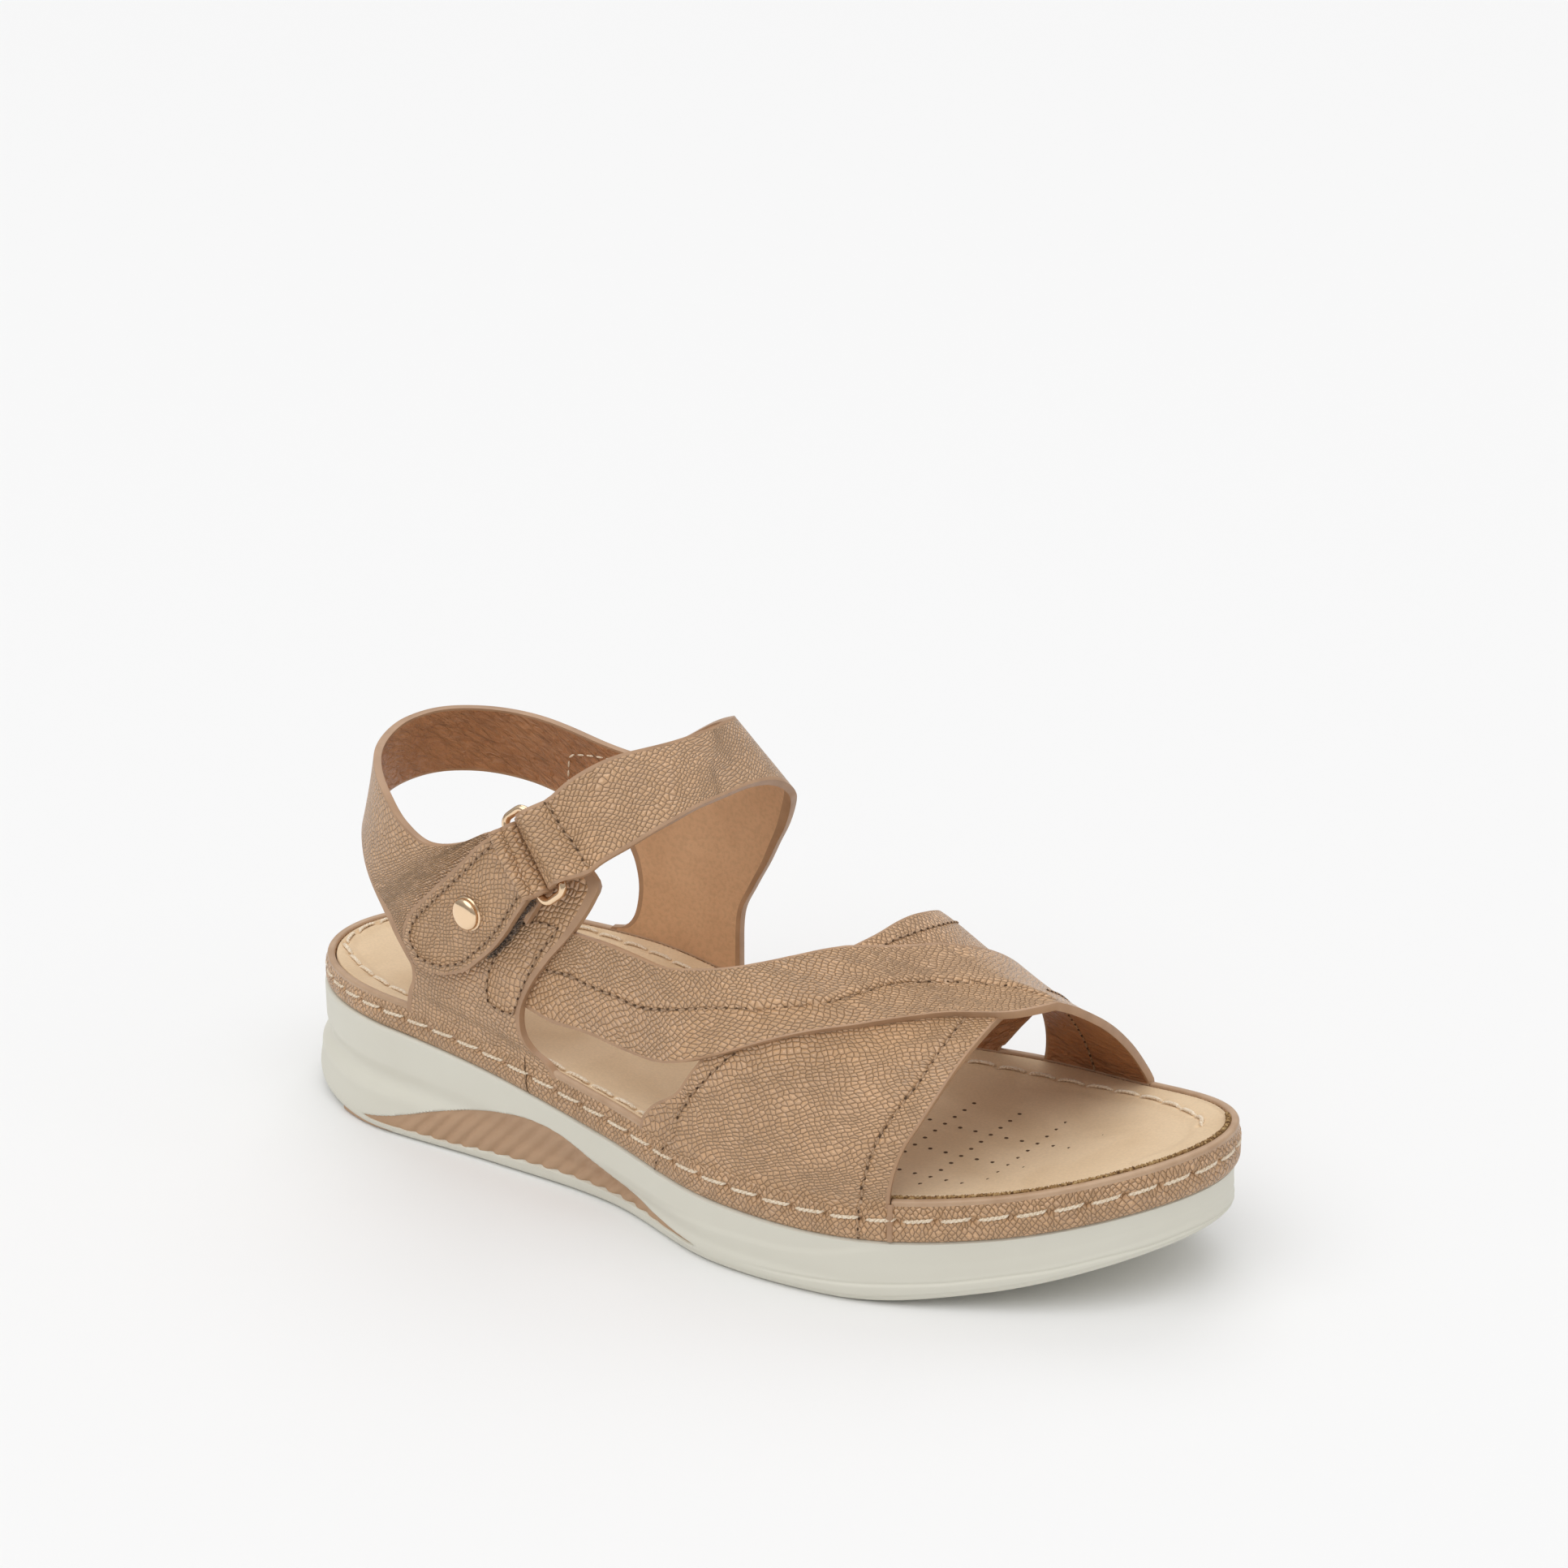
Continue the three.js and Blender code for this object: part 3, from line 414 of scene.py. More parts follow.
paintedEdge = {"noise": [(160.0, 3.0)], "relief": [(0, 0.2, 0.0002)], "roughness": 0.40}
thread = {
    "noise": [(2600.0, 2.0)], "relief": [(0, 0.5, 0.00015)], "roughness": 0.7, "sockets": {"Sheen Weight": 0.2},
}
# noise is scale, detail and distortion; tones are colours on the first noise and specks greys on the
# second; relief is which noise, strength and depth in metres
finishes = {
    # suede inside the ankle strap and the tab
    "liningSuede": {
        "tones": [(0.3, (0.66, 0.40, 0.22)), (0.7, (0.73, 0.455, 0.257))],
        "noise": [(90.0, 4.0), (900.0, 3.0)],
        "specks": [(0.35, 0.90), (0.55, 1.0)],
        "relief": [(0, 0.2, 0.0004), (1, 0.6, 0.00018)],
        "roughness": 0.8,
        "sockets": {"Sheen Weight": 0.15, "Sheen Roughness": 0.5},
    },
    "edgePaint": {**paintedEdge, "tones": [(0.3, (0.39, 0.23, 0.13)), (0.6, (0.47, 0.285, 0.165))]},
    "rimPaint": {**paintedEdge, "tones": [(0.3, (0.45, 0.285, 0.17)), (0.6, (0.53, 0.355, 0.225))]},
    "footbedNubuck": {
        "tones": [(0.33, (0.72, 0.52, 0.315)), (0.55, (0.80, 0.60, 0.385))],
        "noise": [(42.0, 5.0, 0.6), (1500.0, 3.0)],
        "specks": [(0.3, 0.90), (0.7, 1.0)],
        "relief": [(0, 0.2, 0.0006), (1, 0.3, 0.00006)],
        "roughness": 0.85,
        "sockets": {"Sheen Weight": 0.2, "Sheen Roughness": 0.6, "Sheen Tint": (1.0, 0.86, 0.68, 1)},
    },
    "soleFoam": {
        "tones": [(0.3, (0.725, 0.70, 0.605)), (0.7, (0.75, 0.73, 0.635))],
        "noise": [(35.0, 3.0), (900.0, 2.0)],
        "relief": [(0, 0.1, 0.0004), (1, 0.12, 0.00004)],
        "roughness": 0.5,
        "sockets": {"Specular IOR Level": 0.35},
    },
    "ribPlastic": {
        "tones": [(0.3, (0.48, 0.30, 0.18)), (0.7, (0.52, 0.335, 0.205))],
        "noise": [(60.0, 3.0), (1400.0, 2.0)],
        "relief": [(1, 0.15, 0.00005)],
        "roughness": 0.6,
    },
    "creamThread": {**thread, "tones": [(0.35, (0.68, 0.52, 0.35)), (0.6, (0.93, 0.81, 0.64))]},
    "tanThread": {**thread, "tones": [(0.35, (0.28, 0.165, 0.09)), (0.6, (0.50, 0.32, 0.185))]},
    "paleGold": {
        "base": (0.92, 0.68, 0.45),
        "tones": greyStops((0.3, 0.10), (0.75, 0.22)),
        "goesTo": "Roughness",
        "noise": [(700.0, 3.0)],
        "relief": [(0, 0.05, 0.00005)],
        "roughness": 0.10,
        "sockets": {"Metallic": 1.0},
    },
    "loopPile": {
        "base": (0.10, 0.06, 0.035),
        "tones": [(0.35, (0.07, 0.04, 0.02)), (0.65, (0.30, 0.19, 0.11))],
        "noise": [(1300.0, 4.0)],
        "relief": [(0, 1.0, 0.0008)],
        "roughness": 0.95,
        "sockets": {"Sheen Weight": 0.6},
    },
    # near-black for holes and seam grooves: painted shade
    "holeShade": {
        "base": (0.10, 0.055, 0.028),
        "tones": [(0.3, (0.075, 0.04, 0.02)), (0.7, (0.14, 0.08, 0.042))],
        "noise": [(900.0, 2.0)],
        "roughness": 0.95,
    },
    "frayedEdge": {
        "base": (0.34, 0.20, 0.08),
        "tones": [(0.34, (0.10, 0.045, 0.015)), (0.5, (0.36, 0.20, 0.075)), (0.68, (0.60, 0.42, 0.20))],
        "noise": [(1500.0, 4.0)],
        "relief": [(0, 1.0, 0.0006)],
        "roughness": 0.95,
    },
}


def tonedFinish(name, look):
    base = look.get("base", look["tones"][-1][1])
    material, tree, shader = newMaterial(name, base, look["roughness"], look.get("sockets"))
    place = addNode(tree, "ShaderNodeTexCoord").outputs["Object"]
    noises = [addNoise(tree, place, *settings)["Fac"] for settings in look["noise"]]
    tone = addRamp(tree, noises[0], look["tones"])
    if "specks" in look:
        tone = mixColour(tree, 1.0, tone, addRamp(tree, noises[1], greyStops(*look["specks"])))
    tree.links.new(tone, shader.inputs[look.get("goesTo", "Base Color")])
    if "relief" in look:
        joinBumps(tree, shader, [(noises[k], strength, depth) for k, strength, depth in look["relief"]])
    return material


upperLeather = printedLeather()
slingLining = creasedLeather()
finish = {name: tonedFinish(name, look) for name, look in finishes.items()}
print("stage: finishes ready")


# making pieces
def travelAlong(points):
    travelled = [0.0]
    for a, b in zip(points, points[1:]):
        travelled.append(travelled[-1] + (b - a).length)
    return travelled


# after some travel on a line: the place, the way out of the surface and the way ahead
def placeOnLine(points, outs, travelled, at):
    i = clamp(bisect.bisect_left(travelled, at) - 1, 0, len(points) - 2)
    part = (at - travelled[i]) / max(1e-9, travelled[i + 1] - travelled[i])
    ahead = (points[i + 1] - points[i]).normalized()
    return points[i].lerp(points[i + 1], part), outs[i].lerp(outs[i + 1], part), ahead


def treeOf(points):
    tree = KDTree(len(points))
    for i, point in enumerate(points):
        tree.insert(point, i)
    tree.balance()
    return tree


# a sheet through lines of points, with a grain map in centimetres
def gridMesh(lines, wrap=False, grainTurn=0):
    rows = len(lines) - 1
    columns = len(lines[0]) - 1
    mesh = bmesh.new()
    bmesh.ops.create_grid(mesh, x_segments=columns, y_segments=rows, size=0.5)
    low = min(vert.co.x for vert in mesh.verts)
    span = max(vert.co.x for vert in mesh.verts) - low
    travelled = travelAlong([line[columns // 2] for line in lines])
    widths = [travelAlong(line)[-1] for line in lines]
    placeOf = {}
    for vert in mesh.verts:
        placeOf[vert] = (
            round((vert.co.y - low) / span * rows),
            round((vert.co.x - low) / span * columns),
        )
    grain = mesh.loops.layers.uv.new("grain")
    cosine, sine = math.cos(math.radians(grainTurn)), math.sin(math.radians(grainTurn))
    for face in mesh.faces:
        for loop in face.loops:
            i, j = placeOf[loop.vert]
            across, up = (j / columns - 0.5) * widths[i] / 10, travelled[i] / 10
            loop[grain].uv = (across * cosine - up * sine, across * sine + up * cosine)
    for vert, (i, j) in placeOf.items():
        vert.co = toModel(lines[i][j])
    if wrap:
        bmesh.ops.remove_doubles(mesh, verts=mesh.verts, dist=1e-7)
    return mesh


def closedMesh(lines, caps=False):
    mesh = gridMesh(lines, wrap=True)
    if caps:
        bmesh.ops.holes_fill(mesh, edges=[edge for edge in mesh.edges if edge.is_boundary], sides=0)
    bmesh.ops.recalc_face_normals(mesh, faces=mesh.faces)
    return mesh


def facing(mesh, outwards):
    mesh.faces.ensure_lookup_table()
    face = mesh.faces[len(mesh.faces) // 2]
    face.normal_update()
    return face.normal.dot(outwards(face.calc_center_median())) > 0


def addObject(name, data):
    thing = bpy.data.objects.new(name, data)
    bpy.context.collection.objects.link(thing)
    return thing


def meshObject(name, mesh, materials):
    data = bpy.data.meshes.new(name)
    mesh.to_mesh(data)
    mesh.free()
    for material in materials:
        data.materials.append(material)
    return addObject(name, data)


def finishPiece(name, mesh, materials, nodes=(), outwards=None, angle=None):
    if outwards and not facing(mesh, outwards):
        bmesh.ops.reverse_faces(mesh, faces=mesh.faces)
    for face in mesh.faces:
        face.smooth = True
    piece = meshObject(name, mesh, materials)
    if angle:
        piece.data.set_sharp_from_angle(angle=math.radians(angle))
    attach(piece, "root")
    if nodes:
        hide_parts(*nodes)
    return piece


def addWall(piece, thickness, offset):
    wall = piece.modifiers.new("wall", "SOLIDIFY")
    wall.thickness = thickness / 1000
    wall.offset = offset
    return wall


# a run of stitches: grains of thread laid one after the other along a line
def stitchMesh(runs, share, radius, slant=0.0, shift=0.5):
    mesh = bmesh.new()
    for points, outs, pitch in runs:
        travelled = travelAlong(points)
        count = max(1, round(travelled[-1] / pitch))
        step = travelled[-1] / count
        for k in range(count):
            middle, out, ahead = placeOnLine(points, outs, travelled, (k + shift) * step)
            out.normalize()
            side = out.cross(ahead).normalized()
            ahead = (ahead + side * slant).normalized()
            side = out.cross(ahead).normalized()
            out = ahead.cross(side)
            turn = Matrix((out * -radius, side * radius, ahead * share * step / 2)).transposed() * 0.001
            spot = turn.to_4x4()
            spot.translation = toModel(middle)
            bmesh.ops.create_uvsphere(mesh, u_segments=6, v_segments=6, radius=1.0, matrix=spot)
    return mesh


# the face of a strap, so that a line of stitches can be laid on it
def surfaceOf(lines):
    points = [point for line in lines for point in line]
    columns = len(lines[0])
    faces = []
    for i in range(len(lines) - 1):
        for j in range(columns - 1):
            at = i * columns + j
            faces.append((at, at + 1, at + columns + 1, at + columns))
    return BVHTree.FromPolygons(points, faces)


def laidOn(surface, points, outwards, height):
    spots, outs = [], []
    for point in points:
        near, normal, _, _ = surface.find_nearest(point)
        if normal.dot(outwards(near)) < 0:
            normal = -normal
        spots.append(near + normal * height)
        outs.append(normal)
    return spots, outs


def insetFrom(surface, edge, inset, towards):
    points = []
    for i, point in enumerate(edge):
        ahead = (edge[min(i + 1, len(edge) - 1)] - edge[max(i - 1, 0)]).normalized()
        _, normal, _, _ = surface.find_nearest(point)
        side = normal.cross(ahead).normalized()
        if side.dot(towards - point) < 0:
            side = -side
        points.append(point + side * inset)
    return points


def sampled(pairs, count):
    stations = [float(i) for i in range(len(pairs))]
    curves = [smoothCurve(stations, [pair[k] for pair in pairs]) for k in range(2)]
    end = stations[-1]
    return [[curve(end * i / count) for curve in curves] for i in range(count + 1)]


# a line on the last, with the way out of it at each point
def lineOn(pairs, lift, count):
    places = sampled(pairs, count)
    points, higher = [[lastPoint(a, b, at) for a, b in places] for at in (lift, lift + 1)]
    return points, [(high - low).normalized() for high, low in zip(higher, points)]


# a seam knows how far a point lies to its left or right, and how far off
def makeSeam(pairs, lift, count=240):
    points, outs = lineOn(pairs, lift, count)
    tree = treeOf(points)
    sides = []
    for i in range(count + 1):
        ahead = (points[min(i + 1, count)] - points[max(i - 1, 0)]).normalized()
        sides.append(outs[i].cross(ahead).normalized())

    def across(point):
        nearest, index, distance = tree.find(point)
        return (point - nearest).dot(sides[index]), distance

    return across


def layerMiddle(layer):
    return (layer + 0.5) * form["strapThickness"] - layer * form["layerSink"]


# a place across a strap; level keeps the line between the edges level, for the top of the ankle strap
def acrossStrap(rear, front, share, level):
    along = mix(rear[0], front[0], share)
    even = mix(rear[1], front[1], share)
    if not level:
        return along, even

    def heightAt(edge):
        roundness = lastShape["inner"](edge[0])
        return math.sin(math.pi * min(edge[1], 1)) ** (2 / roundness) * lastShape["height"](edge[0])

    height = mix(heightAt(rear), heightAt(front), share) / lastShape["height"](along)
    flat = 1 - math.asin(min(1, height) ** (lastShape["inner"](along) / 2)) / math.pi
    return along, mix(even, flat, level)


# each row is the rear edge, the front edge, the layer at each, how straight and how level it runs across
def strapLines(rows, point, columns, step, push=None):
    rows = [row + [0] * (8 - len(row)) for row in rows]
    ends = [(point(row[0], row[1], 0), point(row[2], row[3], 0)) for row in rows]
    stations = [0.0]
    for before, after in zip(ends, ends[1:]):
        travel = (after[0] - before[0]).length + (after[1] - before[1]).length
        stations.append(stations[-1] + travel / 2 + 0.1)  # no two stations fall together
    curves = [smoothCurve(stations, [row[k] for row in rows]) for k in range(8)]
    count = max(2, round(stations[-1] / step))
    lines = []
    for i in range(count + 1):
        values = [curve(stations[-1] * i / count) for curve in curves]
        rearEdge, frontEdge = values[0:2], values[2:4]
        rearLayer, frontLayer, straight, level = values[4:8]
        rear = point(*rearEdge, layerMiddle(rearLayer))
        front = point(*frontEdge, layerMiddle(frontLayer))
        line = []
        for j in range(columns + 1):
            share = j / columns
            lift = layerMiddle(mix(rearLayer, frontLayer, share))
            place = acrossStrap(rearEdge, frontEdge, share, level)
            spot = point(*place, lift).lerp(rear.lerp(front, share), straight)
            if push:
                more = push(spot)
                if abs(more) > 0.001:
                    spot += (point(*place, lift + 1) - point(*place, lift)) * more
            line.append(spot)
        lines.append(line)
    return lines


# sole
sole = {
    "flare": 3.0,
    "outsoleHeight": 4.0,
    "outsoleShare": 0.2,
    "rounding": 2.4,
    "shankHollow": 2.5,
    "hollowMiddle": 0.43,
    "hollowReach": 0.17,
    "plateRecess": 2.2,
    "plateSoft": 0.35,
    "lineDepth": 0.28,
    "lineWidth": 0.32,
    "lineProud": 0.16,
    "lineFrom": (0.62, 0.70),
    "creaseProud": 0.35,
    "creaseSoft": 0.9,
    "creaseFrom": (0.52, 0.57),
    "creaseTo": (0.74, 0.80),
    "bandSink": 0.1,
    "cupInset": 2.6,
    "cupDepth": 5.2,
    "cupDish": 3.2,
    "turnSteps": 640,
}
flare = table(
    ["along", "top", "groove", "bulge", "foot"],
    [
        [0.00, 0.30, -0.05, 0.80, 1.00],
        [0.15, 0.30, 0.05, 0.85, 1.05],
        [0.30, 0.15, 0.00, 0.15, 0.05],
        [0.45, 0.05, -0.30, -0.65, -0.80],
        [0.60, 0.10, 0.00, -0.05, -0.15],
        [0.72, 0.05, 0.05, 0.10, 0.00],
        [0.85, -0.10, -0.05, 0.05, 0.00],
        [1.00, -0.20, -0.15, -0.10, -0.15],
    ],
)
plateEdges = table(
    ["along", "low", "high"],
    [
        [0.100, 0.9, 1.2],
        [0.130, 0.9, 2.2],
        [0.175, 1.3, 4.7],
        [0.232, 2.0, 9.4],
        [0.276, 3.0, 12.5],
        [0.320, 3.7, 15.1],
        [0.350, 4.0, 16.0],
        [0.394, 4.1, 15.1],
        [0.415, 4.1, 13.6],
        [0.447, 4.0, 10.2],
        [0.469, 3.9, 8.0],
        [0.492, 3.7, 6.2],
        [0.515, 3.5, 5.0],
        [0.539, 3.3, 4.2],
        [0.577, 3.0, 3.3],
    ],
)
plateFrom, plateTo = 0.100, 0.577
foreLine = smoothCurve(
    [0.60, 0.672, 0.735, 0.777, 0.817, 0.867, 0.904, 0.938, 0.970, 0.987, 1.0],
    [3.2, 3.8, 4.7, 5.7, 6.9, 9.4, 11.5, 14.0, 16.0, 17.4, 18.2],
)
creaseLine = smoothCurve([0.52, 0.551, 0.621, 0.704, 0.749, 0.80], [9.4, 9.7, 9.9, 10.7, 13.4, 15.5])


def soleTopAt(along):
    return bandFootAt(along) - sole["bandSink"]


def outsoleAt(along):
    return min(sole["outsoleHeight"], sole["outsoleShare"] * (soleTopAt(along) - groundAt(along)))


# the side of the sole from the ground up, as a curve of height
def sideCurveAt(along):
    ground, top = groundAt(along), soleTopAt(along)
    side = top - ground
    foot, bulge, groove, upper = [flare[name](along) for name in ("foot", "bulge", "groove", "top")]
    shares = [0.0, 0.10, 0.28, 0.36, 0.50, 0.66, 0.97, 1.0]
    outs = [foot - 0.1, foot, bulge, bulge - 0.07, groove, upper, upper, upper - 0.1]
    return smoothCurve([ground + share * side for share in shares], [out * sole["flare"] for out in outs])


# how far the side of the sole stands out: recess for the plate, fine line round the toe, crease above it
def sideOffset(along, z, curve):
    out = curve(z)
    if plateFrom < along < plateTo:
        soft = sole["plateSoft"]
        low, high = plateEdges["low"](along), plateEdges["high"](along)
        inside = ease(z, low - soft, low + soft) * (1 - ease(z, high - soft, high + soft))
        inside *= ease(along, plateFrom, plateFrom + 0.012) * (1 - ease(along, plateTo - 0.006, plateTo))
        out -= sole["plateRecess"] * inside
    if along > 0.6:
        line = foreLine(along)
        reach = ease(along, *sole["lineFrom"])
        out -= sole["lineDepth"] * reach * bump(z, line, sole["lineWidth"])
        out += sole["lineProud"] * reach * (1 - ease(z, line - 0.3, line + 0.3))
    if sole["creaseFrom"][0] < along < sole["creaseTo"][1]:
        crease, soft = creaseLine(along), sole["creaseSoft"]
        fade = ease(along, *sole["creaseFrom"]) * (1 - ease(along, *sole["creaseTo"]))
        out += sole["creaseProud"] * fade * (1 - ease(z, crease - soft, crease + soft))
    return out


def buildSole():
    lines = []
    hollowSteps, cornerSteps, sideSteps = 8, 6, 62
    for i in range(sole["turnSteps"] + 1):
        turn = (i % sole["turnSteps"]) / sole["turnSteps"]
        along = alongAt(turn)
        ground, top = groundAt(along), soleTopAt(along)
        curve = sideCurveAt(along)
        radius = min(sole["rounding"], 0.6 * outsoleAt(along))
        centre = spineSpot(along)
        footOut = curve(ground + radius)
        rim = outlinePoint(turn, footOut - radius)
        line = []
        for k in range(hollowSteps + 1):
            share = k / hollowSteps
            spot = centre.lerp(rim, share)
            station = stationOf(spot)
            waist = max(0.0, 1 - abs(station - sole["hollowMiddle"]) / sole["hollowReach"])
            lift = sole["shankHollow"] * waist * waist * (3 - 2 * waist) * (1 - ease(share, 0.72, 0.9))
            line.append(atHeight(spot, groundAt(station) + lift))
        for k in range(1, cornerSteps + 1):
            angle = math.pi / 2 * k / cornerSteps
            out = footOut - radius * (1 - math.sin(angle))
            line.append(outlineSpot(turn, out, ground + radius * (1 - math.cos(angle))))
        for k in range(1, sideSteps + 1):
            z = mix(ground + radius, top - 0.5, k / sideSteps)
            line.append(outlineSpot(turn, sideOffset(along, z, curve), z))
        for out, down in ((-0.2, 0.15), (-0.6, 0.0), (-sole["cupInset"], 0.0)):
            line.append(outlineSpot(turn, curve(top) + out, top - down))
        cup = outlinePoint(turn, -sole["cupInset"])
        line.append(atHeight(cup, rimAt(along) - sole["cupDepth"]))
        for share in (0.6, 0.0):
            spot = centre.lerp(cup, share)
            station = stationOf(spot)
            floor = rimAt(station) - sole["cupDepth"] - sole["cupDish"] * plan["dish"](station)
            line.append(atHeight(spot, floor))
        lines.append(line)
    finishPiece("soleUnit", closedMesh(lines), [finish["soleFoam"]], ["sole_unit"], angle=50)


ribs = {
    "pitch": 5.0,
    "depth": 0.62,
    "slant": 1.05,
    "power": 1.6,
    "from": (0.17, 0.22),
    "to": (0.48, 0.54),
    "below": 0.35,
    "overlap": 0.5,
    "thickness": 1.6,
}


def buildRibs(name, side, node):
    lines = []
    steps, levels = 460, 24
    for i in range(steps + 1):
        base = mix(plateFrom + 0.002, plateTo - 0.002, i / steps)
        low = plateEdges["low"](base) - ribs["overlap"]
        high = plateEdges["high"](base) + ribs["overlap"]
        curve = sideCurveAt(base)
        reach = ease(base, *ribs["from"]) * (1 - ease(base, *ribs["to"]))
        line = []
        for j in range(levels + 1):
            z = mix(low, high, j / levels)
            lean = ribs["slant"] * (z - low)
            phase = 2 * math.pi * (base * form["footbedLength"] - lean) / ribs["pitch"]
            edge = 1 - 0.6 * ease(z, high - 2.4, high - 0.6)
            wave = (0.5 + 0.5 * math.cos(phase)) ** ribs["power"]
            out = curve(z) - ribs["below"] - ribs["depth"] * wave * reach * edge
            line.append(outlineSpot(turnAt(base, side), out, z))
        lines.append(line)
    mesh = gridMesh(lines)
    sideways = Vector((0, side, 0))
    piece = finishPiece(name, mesh, [finish["ribPlastic"]], [node], lambda spot: sideways)
    addWall(piece, ribs["thickness"], -1)


buildSole()
buildRibs("ribPlateOuter", -1, "rib_insert_lateral")
buildRibs("ribPlateInner", 1, "rib_insert_medial")
print("stage: sole")


# footbed
footbed = {
    "thickness": 4.0,
    "dish": 3.2,
    "belowRim": 0.5,
    "inset": 2.3,
    "insideDip": 0.75,
    "insideEdge": (0.2, 3.4),
    "seamDip": 0.40,
    "seamWidth": 0.8,
    "pucker": 0.75,
    "puckerWidth": 0.95,
    "stitchPitch": 8.0,
    "threadRadius": 0.46,
    "turnSteps": 560,
    "insets": [
        17, 15, 13.5, 12.2, 11.4, 10.8, 10.2, 9.7, 9.3, 8.9, 8.5, 8.1,
        7.7, 7.3, 6.9, 6.4, 5.9, 5.4, 4.9, 4.5, 4.1, 3.7, 3.3, 2.9,
    ],
}
footbedInset = smoothCurve(
    [-0.36, -0.25, -0.213, -0.197, -0.135, -0.107, -0.081, -0.067, -0.055, -0.039, 0.039, 0.152, 0.162, 0.173, 0.182,
     0.198, 0.25, 0.305, 0.32, 0.335, 0.352, 0.3675, 0.385, 0.402, 0.418, 0.435, 0.4437, 0.4637],
    [4.8, 4.2, 4.1, 5.4, 7.6, 8.0, 7.3, 6.5, 5.6, 3.9, 3.6, 3.9, 4.8, 5.6, 6.2,
     7.1, 8.0, 8.5, 9.3, 9.5, 8.9, 7.8, 7.2, 7.4, 7.8, 8.0, 7.6, 8.8],
)
footbedSeamFrom, footbedSeamTo = -0.33, 0.4637


def footbedTopAt(along, share):
    rim = rimAt(along) - footbed["belowRim"]
    return rim - footbed["dish"] * plan["dish"](along) * (1 - share ** 3)


def footbedSpot(turn, inset):
    centre = spineSpot(alongAt(turn))
    edge = outlinePoint(turn, -footbed["inset"])
    spot = outlinePoint(turn, -inset)
    share = min(1.0, (spot - centre).length / (edge - centre).length)
    return atHeight(spot, footbedTopAt(stationOf(spot), share))


def seamReachAt(turn):
    signed = turn - 1 if turn > 0.56 else turn
    starts = ease(signed, footbedSeamFrom, footbedSeamFrom + 0.01)
    ends = 1 - ease(signed, footbedSeamTo, footbedSeamTo + 0.006)
    return clamp(signed, footbedSeamFrom, footbedSeamTo), starts * ends


def footbedRun(count=700):
    points = []
    for i in range(count + 1):
        signed = mix(footbedSeamFrom, footbedSeamTo, i / count)
        points.append(footbedSpot(signed % 1, footbedInset(signed)))
    travelled = travelAlong(points)
    holes = round(travelled[-1] / footbed["stitchPitch"])
    spots = []
    for k in range(holes + 1):
        i = bisect.bisect_left(travelled, travelled[-1] * k / holes)
        spots.append(points[min(i, count)])
    return points, spots


footbedLine, footbedHoles = footbedRun()


# rings run from the middle to the edge, down the side and back underneath
def buildFootbed():
    holes = treeOf(footbedHoles)
    lines = []
    for i in range(footbed["turnSteps"] + 1):
        turn = (i % footbed["turnSteps"]) / footbed["turnSteps"]
        along = alongAt(turn)
        rim = rimAt(along) - footbed["belowRim"]
        centre = spineSpot(along)
        edge = outlinePoint(turn, -footbed["inset"])
        inner = outlinePoint(turn, -footbed["insets"][0])
        signed, reach = seamReachAt(turn)
        seam = footbedInset(signed)
        line = []
        for k in range(14):
            spot = centre.lerp(inner, k / 14)
            share = (spot - centre).length / (edge - centre).length
            line.append(atHeight(spot, footbedTopAt(stationOf(spot), share) - footbed["insideDip"]))
        for inset in footbed["insets"]:
            spot = footbedSpot(turn, inset)
            spot.z -= footbed["insideDip"] * ease(inset - seam, *footbed["insideEdge"])
            spot.z -= footbed["seamDip"] * bump(inset, seam, footbed["seamWidth"]) * reach
            gap = holes.find(spot)[2]
            if gap < 3.0:
                spot.z -= footbed["pucker"] * bump(gap, 0, footbed["puckerWidth"]) * reach
            line.append(spot)
        for inset, down in ((0.3, 0.06), (0.12, 0.25), (0.0, 0.7), (0.0, footbed["thickness"])):
            line.append(outlineSpot(turn, -footbed["inset"] - inset, rim - down))
        for share in (0.6, 0.0):
            spot = centre.lerp(edge, share)
            station = stationOf(spot)
            top = rimAt(station) - footbed["belowRim"]
            line.append(atHeight(spot, top - footbed["thickness"] - footbed["dish"] * plan["dish"](station)))
        lines.append(line)
    finishPiece("footbedBoard", closedMesh(lines), [finish["footbedNubuck"]], ["footbed"])


buildFootbed()
pinholes = {
    "columns": range(-8, 10),
    "rows": range(-7, 4),
    "acrossPitch": 4.45,
    "alongPitch": 4.13,
    "firstAlong": 180.2,
    "firstAcross": 3.5,
    "radius": 0.54,
    "proud": 0.06,
    "frontEnd": 214.5,
    "frontSlant": 0.40,
    "sideShare": 0.80,
}


# small holes on every third line of a fine net, as on a windowpane check
def buildPinholes():
    mesh = bmesh.new()
    for i in pinholes["columns"]:
        for j in pinholes["rows"]:
            if i % 3 and (j % 3 or j > 0):
                continue
            x = pinholes["firstAlong"] + i * pinholes["alongPitch"]
            y = pinholes["firstAcross"] + j * pinholes["acrossPitch"]
            station = x / form["footbedLength"]
            half = plan["half"](station) * form["ballWidth"] / 2
            share = abs(y - centreAt(station)) / (half - footbed["inset"])
            front = pinholes["frontEnd"] + pinholes["frontSlant"] * (y - pinholes["firstAcross"])
            if x > front or share > pinholes["sideShare"]:
                continue
            z = footbedTopAt(station, share) - footbed["insideDip"] + pinholes["proud"]
            # each hole is a near-black disc lying on the footbed: painted shade, not a cut
            ring = bmesh.ops.create_circle(mesh, cap_ends=True, segments=8, radius=pinholes["radius"] / 1000)
            bmesh.ops.translate(mesh, verts=ring["verts"], vec=toModel((x, y, z)))
    finishPiece("pinholes", mesh, [finish["holeShade"]])


# the same scatter on every run
def jitter(seed, reach=1.0):
    value = math.sin(seed * 12.9898) * 43758.5453
    return (2 * (value - math.floor(value)) - 1) * reach


